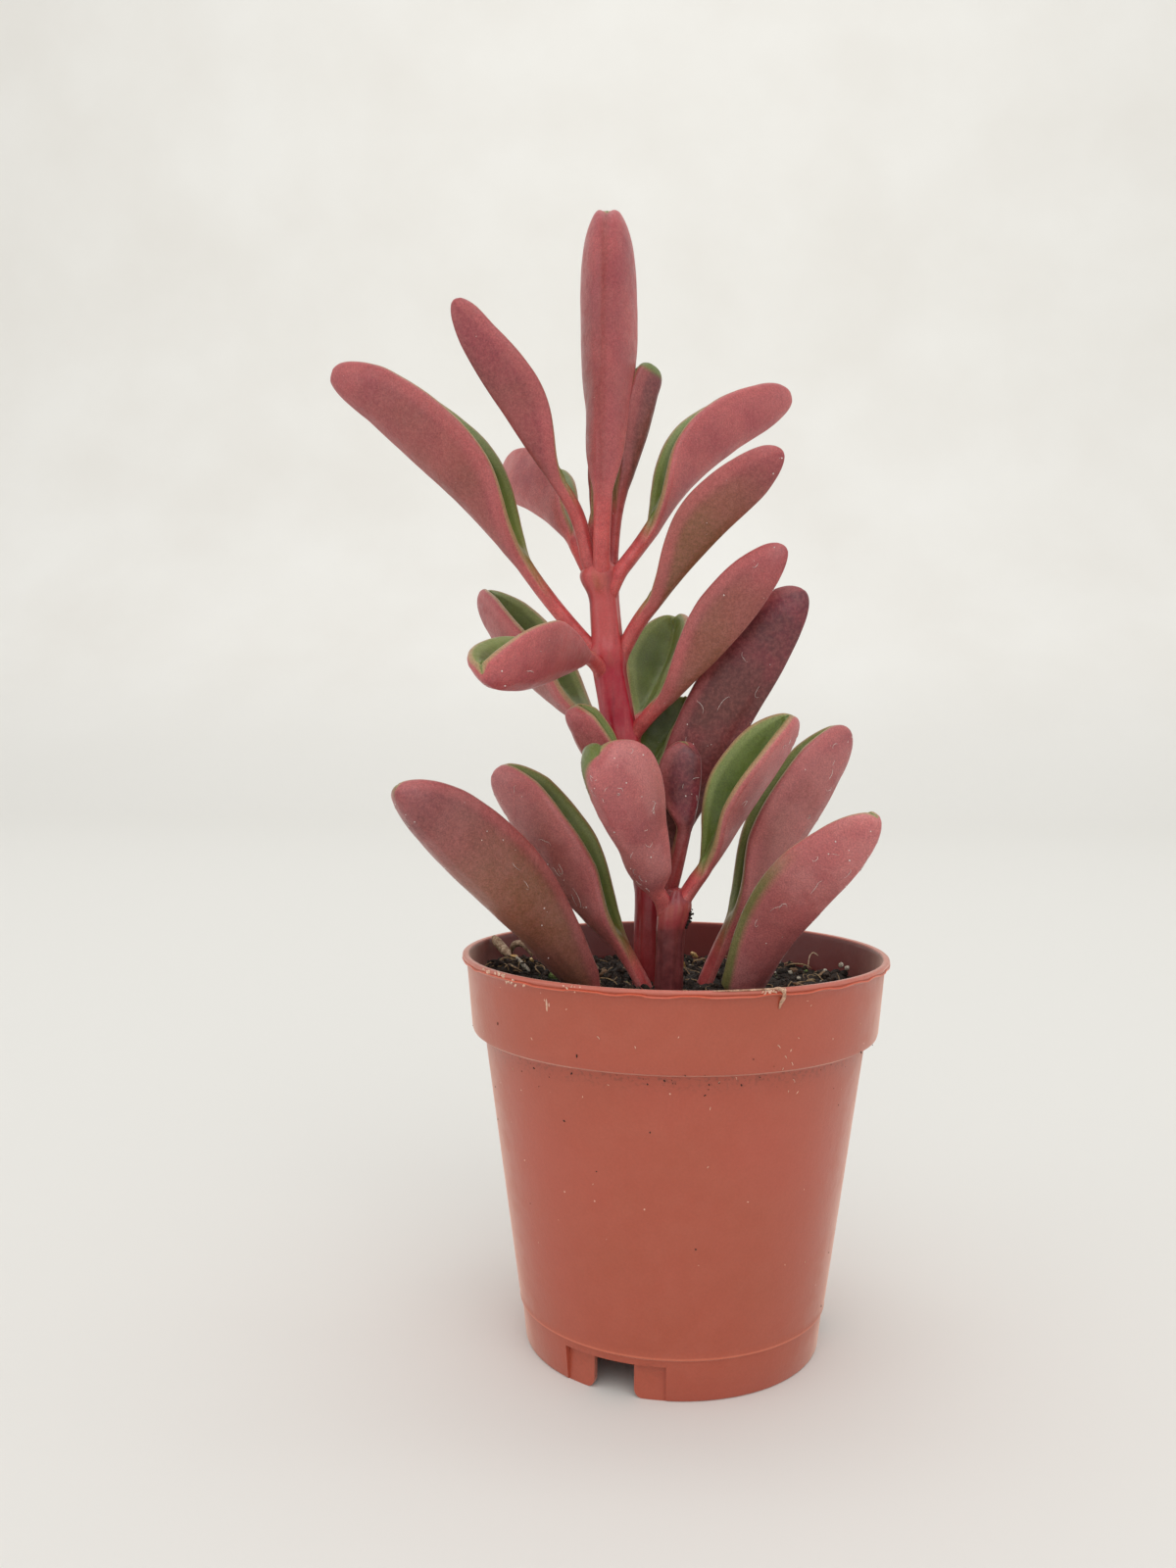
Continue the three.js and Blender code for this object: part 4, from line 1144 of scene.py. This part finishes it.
def make_leaf(name, leaf, seed):
    """Makes a leaf and gives back the rings of its stalk and blade."""
    rings, labels = sweep_leaf(leaf, seed)
    root = root_rings(leaf, rings[0], rib_of(leaf)[2][0])
    count = rings.shape[1]
    all_rings = np.array(root + list(rings))
    points = np.vstack([all_rings.reshape(-1, 3), all_rings[:1].mean(axis=1), rings[-1:].mean(axis=1)])
    faces = grid_faces(len(all_rings), count)
    faces += [(j, i, middle) for i, j, middle in fan(0, count, len(points) - 2)]
    faces += fan((len(all_rings) - 1) * count, count, len(points) - 1)
    piece = Bundle().add(points, faces).make("ruby_leaf_" + name, LEAF_SKIN, "leaf", ["leaf_" + name])
    rows = [labels[0]] * len(root) + list(labels)
    flat = np.vstack([np.concatenate(rows), labels[0, :1], labels[-1, :1]])
    for label, values in zip(("hollow", "edge", "keel", "blade", "along"), flat.T):
        paint(piece, label, values)
    green = greenness(leaf, np.tile(side_of_keel(), len(all_rings)), *flat[:-2, 2:].T)
    paint(piece, "green", np.append(green, [0, green[-1]]))
    for label in ("brown", "painted_shade", "keel_line", "dust"):
        paint(piece, label, np.full(len(flat), leaf[label]))
    return rings


# Filling


def soil_height(x, y):
    lumps = (
        0.45 * math.sin(0.7 * x + 1.3) * math.cos(0.6 * y)
        + 0.3 * math.sin(1.3 * y + 0.4 * x)
        + 0.2 * math.cos(1.9 * x - 1.1 * y)
    )
    share = math.hypot(x, y) / SOIL_RADIUS
    fine = sum(tall * soft_noise((x, y, 0), size, seed) for tall, size, seed in SOIL_NOISE)
    heaps = sum(tall * math.exp(-(((x - middle_x) / wide) ** 2) - ((y - middle_y) / deep) ** 2)
                for tall, middle_x, middle_y, wide, deep in HEAPS)
    return SOIL_EDGE_Z + SOIL_MOUND * (1 - share**2) + lumps * min(1, 3 * (1 - share)) + fine + heaps


def soil_point(x, y, lift=0.0):
    return np.array([x, y, soil_height(x, y) + lift])


def make_soil():
    angles = angles_round(SOIL_SEGMENTS)
    points = []
    for ring in range(SOIL_RINGS):
        radius = SOIL_RADIUS * (1 - ring / SOIL_RINGS) ** 0.8
        points += [soil_point(*around(radius, a)) for a in angles]
    top = len(points) + 1
    faces = grid_faces(SOIL_RINGS, SOIL_SEGMENTS) + fan(top - 1 - SOIL_SEGMENTS, SOIL_SEGMENTS, top - 1)
    points.append(soil_point(0, 0))
    foot = top + SOIL_SEGMENTS
    for z, base in ((COLLAR_FOOT_Z - 0.8, COLLAR_FOOT_Z - 0.8), (FLOOR_Z + WALL + 0.35, FLOOR_Z + WALL)):
        radius, _ = wall_point(base, -SOIL_GAP)
        points += [(*around(radius, a), z) for a in angles]
    for i in range(SOIL_SEGMENTS):
        j = (i + 1) % SOIL_SEGMENTS
        faces.append((j, i, top + i, top + j))
        faces.append((top + j, top + i, foot + i, foot + j))
    faces.append(tuple(range(foot, foot + SOIL_SEGMENTS)))
    Bundle().add(points, faces).make("peat_filling", PEAT, "soil", ["soil"])


def random_place(rng, outer=0.97):
    return around(SOIL_RADIUS * outer * math.sqrt(rng.random()), rng.random() * 2 * math.pi)


def scatter_crumbs(rng, name, count, low, high, material):
    """Rough lumps lying on the peat."""
    shape, faces = ball(1)
    bundle = Bundle()
    for i in range(count):
        x, y = random_place(rng)
        size = low + (high - low) * rng.random() ** 2.2
        stretch = rng.uniform(0.6, 1.3, 3) * [1, 1, 0.7]
        turn = np.array(Matrix.Rotation(any_way(rng), 3, Vector(rng.normal(size=3)).normalized()))
        placed = (roughened(shape, 0.3, rng) * stretch * size) @ turn.T
        bundle.add(placed + soil_point(x, y, 0.3 * size), faces)
    bundle.make(name, material, "soil")


def scatter_fibres(rng, name, count, length, radius, material, outer=0.96, near=None):
    """Thin bent fibres lying on and poking out of the peat."""
    bundle = Bundle()
    for i in range(count):
        x, y = random_place(rng, outer) if near is None else rng.normal(near, 2.6)
        if math.hypot(x, y) > SOIL_RADIUS * outer:
            continue
        reach = length * rng.uniform(0.4, 1.2)
        way, bend, rise = any_way(rng), rng.normal(0, 0.25), rng.uniform(-0.1, 0.45)
        route = []
        z = soil_height(x, y) + 0.15
        for step in range(9):
            route.append((x, y, max(z, soil_height(x, y) + 0.05) if step else z))
            x += reach / 8 * math.cos(way) * (1 - abs(rise))
            y += reach / 8 * math.sin(way) * (1 - abs(rise))
            z += reach / 8 * rise
            way += bend
            rise -= 0.11
            if math.hypot(x, y) > SOIL_RADIUS * 0.985:
                break
        if len(route) > 3:
            bundle.add(*tube(route, radius * rng.uniform(0.6, 1.4), 5))
    bundle.make(name, material, "soil")


def chip(size, turn, place, rng):
    """One flat splinter."""
    shape, faces = ball(2)
    boxy = np.sign(shape) * np.abs(shape) ** 0.55
    return (roughened(boxy, 0.12, rng) * size / 2) @ np.array(turn).T + place, faces


def scatter_bark(rng, count):
    bundle = Bundle()
    for i in range(count):
        x, y = random_place(rng, 0.92)
        size = np.array([rng.uniform(1.2, 3.2), rng.uniform(0.6, 1.4), rng.uniform(0.25, 0.5)])
        turn = Matrix.Rotation(any_way(rng), 3, "Z") @ Matrix.Rotation(rng.normal(0, 0.35), 3, "X")
        turn = turn @ Matrix.Rotation(rng.normal(0, 0.3), 3, "Y")
        bundle.add(*chip(size, turn, soil_point(x, y, 0.2), rng))
    bundle.make("bark_chips", BARK, "soil")


def on_pot(heading, z, lift=0.0):
    """A point on the pot's outside at a heading and height, and the direction straight out."""
    heights = [0, SEAM_Z, COLLAR_FOOT_Z, COLLAR_FOOT_Z + 0.4, POT_HEIGHT - 1, POT_HEIGHT - 0.9, POT_HEIGHT]
    radii = [FOOT_RADIUS, SEAM_RADIUS, BODY_TOP_RADIUS, COLLAR_FOOT_RADIUS, COLLAR_TOP_RADIUS,
             LIP_RADIUS - 0.1, LIP_RADIUS - 0.1]
    out = heading_vector(heading)
    return out * (np.interp(z, heights, radii) + lift) + np.array([0, 0, z]), out


def fleck(rng, heading, z, size):
    """A thin irregular flake lying on the pot."""
    place, out = on_pot(heading, z)
    shape, faces = ball(2)
    side = np.cross(out, [0.2, 0.1, 0.97])
    side /= np.linalg.norm(side)
    spread = roughened(shape, 0.35, rng) * np.asarray(size) / 2
    turn = rng.uniform(0, 3.14)
    across = math.cos(turn) * side + math.sin(turn) * np.cross(side, out)
    upward = np.cross(out, across)
    return place + spread[:, :1] * across + spread[:, 1:2] * upward + spread[:, 2:] * out, faces


def specks_on_pot(rng, dark_count, pale_count, crumb_count):
    """Splashed peat, dust and pale scrapes on the outside of the pot."""
    dark, pale = Bundle(), Bundle()
    for i in range(dark_count):
        low_down = rng.random() < 0.65
        z = rng.normal(COLLAR_FOOT_Z - 0.6, 0.9) if low_down else rng.uniform(7, POT_HEIGHT - 2)
        heading, size = rng.uniform(-180, 180), rng.uniform(0.1, 0.4)
        dark.add(*fleck(rng, heading, min(z, POT_HEIGHT - 1.5), (size, size * 0.6, 0.1)))
    for i in range(pale_count):
        high_up = rng.random() < 0.6
        low, high = (COLLAR_FOOT_Z + 1, POT_HEIGHT - 1.5) if high_up else (7, COLLAR_FOOT_Z)
        z, heading, size = rng.uniform(low, high), rng.uniform(-180, 180), rng.uniform(0.1, 0.3)
        pale.add(*fleck(rng, heading, z, (size * 1.2, size * 0.35, 0.05)))
    for heading, z, size in LIP_CRUMBS:
        for i in range(crumb_count):
            turned_to, raised = heading + rng.normal(0, 1.6), z + rng.normal(0, 0.18)
            shape = (size * rng.uniform(0.3, 1), size * 0.35, 0.1)
            pale.add(*fleck(rng, turned_to, min(raised, POT_HEIGHT - 0.2), shape))
    for heading, top, bottom, thick in SCRAPES:
        pale.add(*tube([on_pot(heading, z, -0.06)[0] for z in np.linspace(top, bottom, 8)], thick, 5))
    for heading, z, size in FINE_SCRATCHES:
        way = rng.uniform(-1, 1) * size
        shares = np.linspace(0, 1, 7)
        route = [on_pot(heading + way * t, z + size * (t - 0.6 * t * t))[0] for t in shares]
        pale.add(*tube(route, 0.06, 4))
    dark.make("dark_specks", DARK_SPECK, "soil")
    pale.make("pale_specks", SCRAPE, "soil")


def chosen_scraps(rng):
    """The larger scraps that lie where the photograph shows them."""
    roots, twig = Bundle(), Bundle()
    twig.add(*thread(TWIG, 22, 0.72, 12))
    twig.add(*thread(BENT_TWIG, 16, 0.5, 9))
    twig.add(*thread(WISP, 12, 0.1, 6))
    roots.add(*thread(HANGING_ROOT, 26, 0.24, 8))
    lying = [on_pot(heading, POT_HEIGHT + 0.02, 0.02)[0] for heading in LYING_ROOT_HEADINGS]
    roots.add(*thread(lying, 30, 0.12, 6))
    roots.make("dry_roots_on_lip", ROOT, "soil")
    twig.make("dry_twig", BRANCH, "soil")

    yellow = Bundle()
    for x, y, size, lift in YELLOW_CHIPS:
        turn = Matrix.Rotation(rng.uniform(0, 3), 3, "Z") @ Matrix.Rotation(0.9, 3, "X")
        yellow.add(*chip(np.array([size, size * 0.8, 0.45]), turn, soil_point(x, y, lift), rng))
    yellow.make("yellow_chips", STRAW, "soil")

    shred = Bundle()
    strand = [soil_point(-22.9, 2.6, 0.5), soil_point(-21.8, 1.2, 0.8), soil_point(-20.6, 0.2, 0.4)]
    shred.add(*thread(strand, 10, 0.3, 8))
    shape, faces = ball(2)
    for x, y in WHITE_LUMPS:
        lumpy = roughened(shape, 0.2, rng) * rng.uniform(0.25, 0.42)
        shred.add(lumpy + soil_point(x, y, 1.4 if x > 24 else 0.4), faces)
    shred.make("white_shreds", PALE, "soil")

    corners = [soil_point(-17.8, -2.4, 0.1), soil_point(-17.2, -2.2, 1.5), soil_point(-15, -3.8, 0.2)]
    corners += [corner + [0.15, 0.3, 0.05] for corner in corners]
    sides = [(0, 1, 2), (5, 4, 3), (0, 3, 4, 1), (1, 4, 5, 2), (2, 5, 3, 0)]
    Bundle().add(corners, sides).make("green_scrap", MOSS, "soil")

    mound = Bundle()
    shape, faces = ball(3)
    bumps = np.array([soft_noise(p * 3, 1.3, 3) for p in shape])
    for x, y, size in PEAT_LUMPS:
        lump = shape * (1 + 0.3 * bumps[:, None]) * size * [1, 1, 0.8]
        mound.add(lump + soil_point(x, y, 0.3 * size), faces)
    mound.make("peat_lumps", PEAT, "soil")

    clump = Bundle()
    shape, faces = ball(1)
    for i in range(34):
        t = rng.random()
        spot = mix(CLUMP_START, CLUMP_END, t) + rng.normal(0, 0.16, 3)
        clump.add(roughened(shape, 0.3, rng) * rng.uniform(0.12, 0.26) + spot, faces)
    clump.make("peat_clump_on_shoot", DARK_SPECK, "soil")


def surface_point(rings, row, column, lift):
    """A point between the rings of a leaf, lifted off its skin."""
    rows, columns = rings.shape[:2]
    row = min(max(row, 1), rows - 3)
    r, c = int(row), int(column) % columns
    fr, fc = row - int(row), column - int(column)
    here, side = rings[r, c], rings[r, (c + 1) % columns]
    far, corner = rings[r + 1, c], rings[r + 1, (c + 1) % columns]
    place = (here * (1 - fr) + far * fr) * (1 - fc) + (side * (1 - fr) + corner * fr) * fc
    out = np.cross(side - here, far - here)
    return place + out / (np.linalg.norm(out) + 1e-9) * lift


def threads_on_leaves(rng, surfaces):
    """White hairs of dust and pale dots on the leaves that HAIRS names."""
    hairs, dots = Bundle(), Bundle()
    shape, faces = ball(1)
    for name, (hair_count, dot_count) in HAIRS.items():
        rings = surfaces[name]
        for i in range(hair_count):
            row, column = rng.uniform(STALK_RINGS, len(rings) - 12), rng.uniform(2, UNDERSIDE_POINTS - 3)
            way, bend = any_way(rng), rng.normal(0, 0.5)
            route = []
            for step in range(int(rng.uniform(4, 9))):
                route.append(surface_point(rings, row, column, 0.03))
                row += 0.7 * math.sin(way)
                column = min(max(column + 0.5 * math.cos(way), 1), UNDERSIDE_POINTS - 2)
                way += bend + rng.normal(0, 0.35)
                bend *= 0.93
            hairs.add(*tube(route, rng.uniform(0.02, 0.04), 4))
        for i in range(dot_count):
            row, column = rng.uniform(STALK_RINGS, len(rings) - 6), rng.uniform(1, UNDERSIDE_POINTS - 2)
            spot = surface_point(rings, row, column, 0.0)
            dots.add(shape * rng.uniform(0.05, 0.13) + spot, faces)
    hairs.make("white_hairs", THREAD, "leaf")
    dots.make("pale_dots", THREAD, "leaf")


# Build the object

rng = np.random.default_rng(SEED)
make_pot()
make_soil()
make_stem("crimson_stem", "main_stem", MAIN_STEM, MAIN_SKIN, "stem", 1)
make_stem("maroon_shoot", "front_shoot", FRONT_SHOOT, SHOOT_SKIN, "shoot", 2)
surfaces = {}
for number, (name, leaf) in enumerate(LEAVES.items()):
    surfaces[name] = make_leaf(name, PLAIN_LEAF | leaf, number + 1)
scatter_crumbs(rng, "peat_crumbs", 1500, 0.18, 0.75, CRUMB)
scatter_crumbs(rng, "pale_crumbs", 90, 0.15, 0.45, PALE)
scatter_crumbs(rng, "green_crumbs", 60, 0.15, 0.4, MOSS)
scatter_fibres(rng, "dry_fibres", 260, 5, 0.08, FIBRE)
scatter_fibres(rng, "dark_fibres", 160, 4, 0.09, CRUMB)
scatter_fibres(rng, "rim_fibres", 30, 4.5, 0.08, FIBRE, 0.97, near=(-23.5, 2))
scatter_fibres(rng, "rim_dark_fibres", 60, 4, 0.12, CRUMB, 0.97, near=(-23.5, 2))
scatter_bark(rng, 30)
chosen_scraps(rng)
specks_on_pot(rng, 130, 80, 7)
threads_on_leaves(rng, surfaces)


# Camera, floor and light; the floor and the lights are in metres


def place_camera():
    """A camera that would look along +Y at yaw and pitch zero."""
    yaw, pitch, roll = CAMERA_YAW, CAMERA_PITCH, CAMERA_ROLL
    forward = Vector((math.sin(yaw) * math.cos(pitch), math.cos(yaw) * math.cos(pitch), math.sin(pitch)))
    level = Vector((math.cos(yaw), -math.sin(yaw), 0))
    upright = level.cross(forward)
    right = math.cos(roll) * level + math.sin(roll) * upright
    up = math.cos(roll) * upright - math.sin(roll) * level
    data = bpy.data.cameras.new("camera")
    data.lens = LENS
    data.sensor_width = SENSOR_WIDTH
    data.clip_start = 0.01
    camera = new_object("camera", data)
    spot = Vector(AXIS) + Vector((0, -CAMERA_DISTANCE, CAMERA_HEIGHT))
    turn = Matrix((right, up, -forward)).transposed().to_4x4()
    camera.matrix_world = Matrix.Translation(spot * MM) @ turn
    bpy.context.scene.camera = camera


def make_floor():
    """One sheet of paper that lies flat and curves up far behind the pot."""
    half_width, front, back, bend, top = 7.0, -7.0, 1.1, 0.7, 2.2
    curve = np.linspace(0.1, math.pi / 2, 16)
    route = [(front, 0), (back, 0)] + [(back + bend * math.sin(a), bend * (1 - math.cos(a))) for a in curve]
    route.append((back + bend, top))
    points = [(x, y, z) for y, z in route for x in (-half_width, half_width)]
    faces = [(2 * i, 2 * i + 1, 2 * i + 3, 2 * i + 2) for i in range(len(route) - 1)]
    mesh = bpy.data.meshes.new("paper_floor")
    mesh.from_pydata(points, [], faces)
    mesh.polygons.foreach_set("use_smooth", [True] * len(mesh.polygons))
    mesh.materials.append(pale_paper())
    new_object("paper_floor", mesh)


def add_light(name, place, aim, size, power, tint):
    data = bpy.data.lights.new(name, "AREA")
    data.shape = "DISK"
    data.size = size
    data.energy = power
    data.color = tint
    light = new_object(name, data)
    light.location = place
    light.rotation_euler = (Vector(aim) - Vector(place)).to_track_quat("-Z", "Y").to_euler()


def light_scene():
    world = bpy.data.worlds.new("studio")
    world.use_nodes = True
    backdrop = world.node_tree.nodes["Background"]
    backdrop.inputs["Color"].default_value = (1, 0.994, 0.982, 1)
    backdrop.inputs["Strength"].default_value = 0.8
    bpy.context.scene.world = world
    aim = (0, 0, 0.08)
    add_light("window", (0.15, -0.65, 0.75), aim, 0.9, 2.1, (1, 0.99, 0.97))
    add_light("left fill", (-1.5, -0.8, 0.4), aim, 0.9, 1.6, (1, 0.99, 0.98))
    add_light("backdrop light", (0, 0.3, 1.6), (0, 1.8, 0.7), 1.2, 6.0, (1, 1, 0.99))


place_camera()
make_floor()
light_scene()
bpy.context.scene.view_settings.view_transform = "Standard"
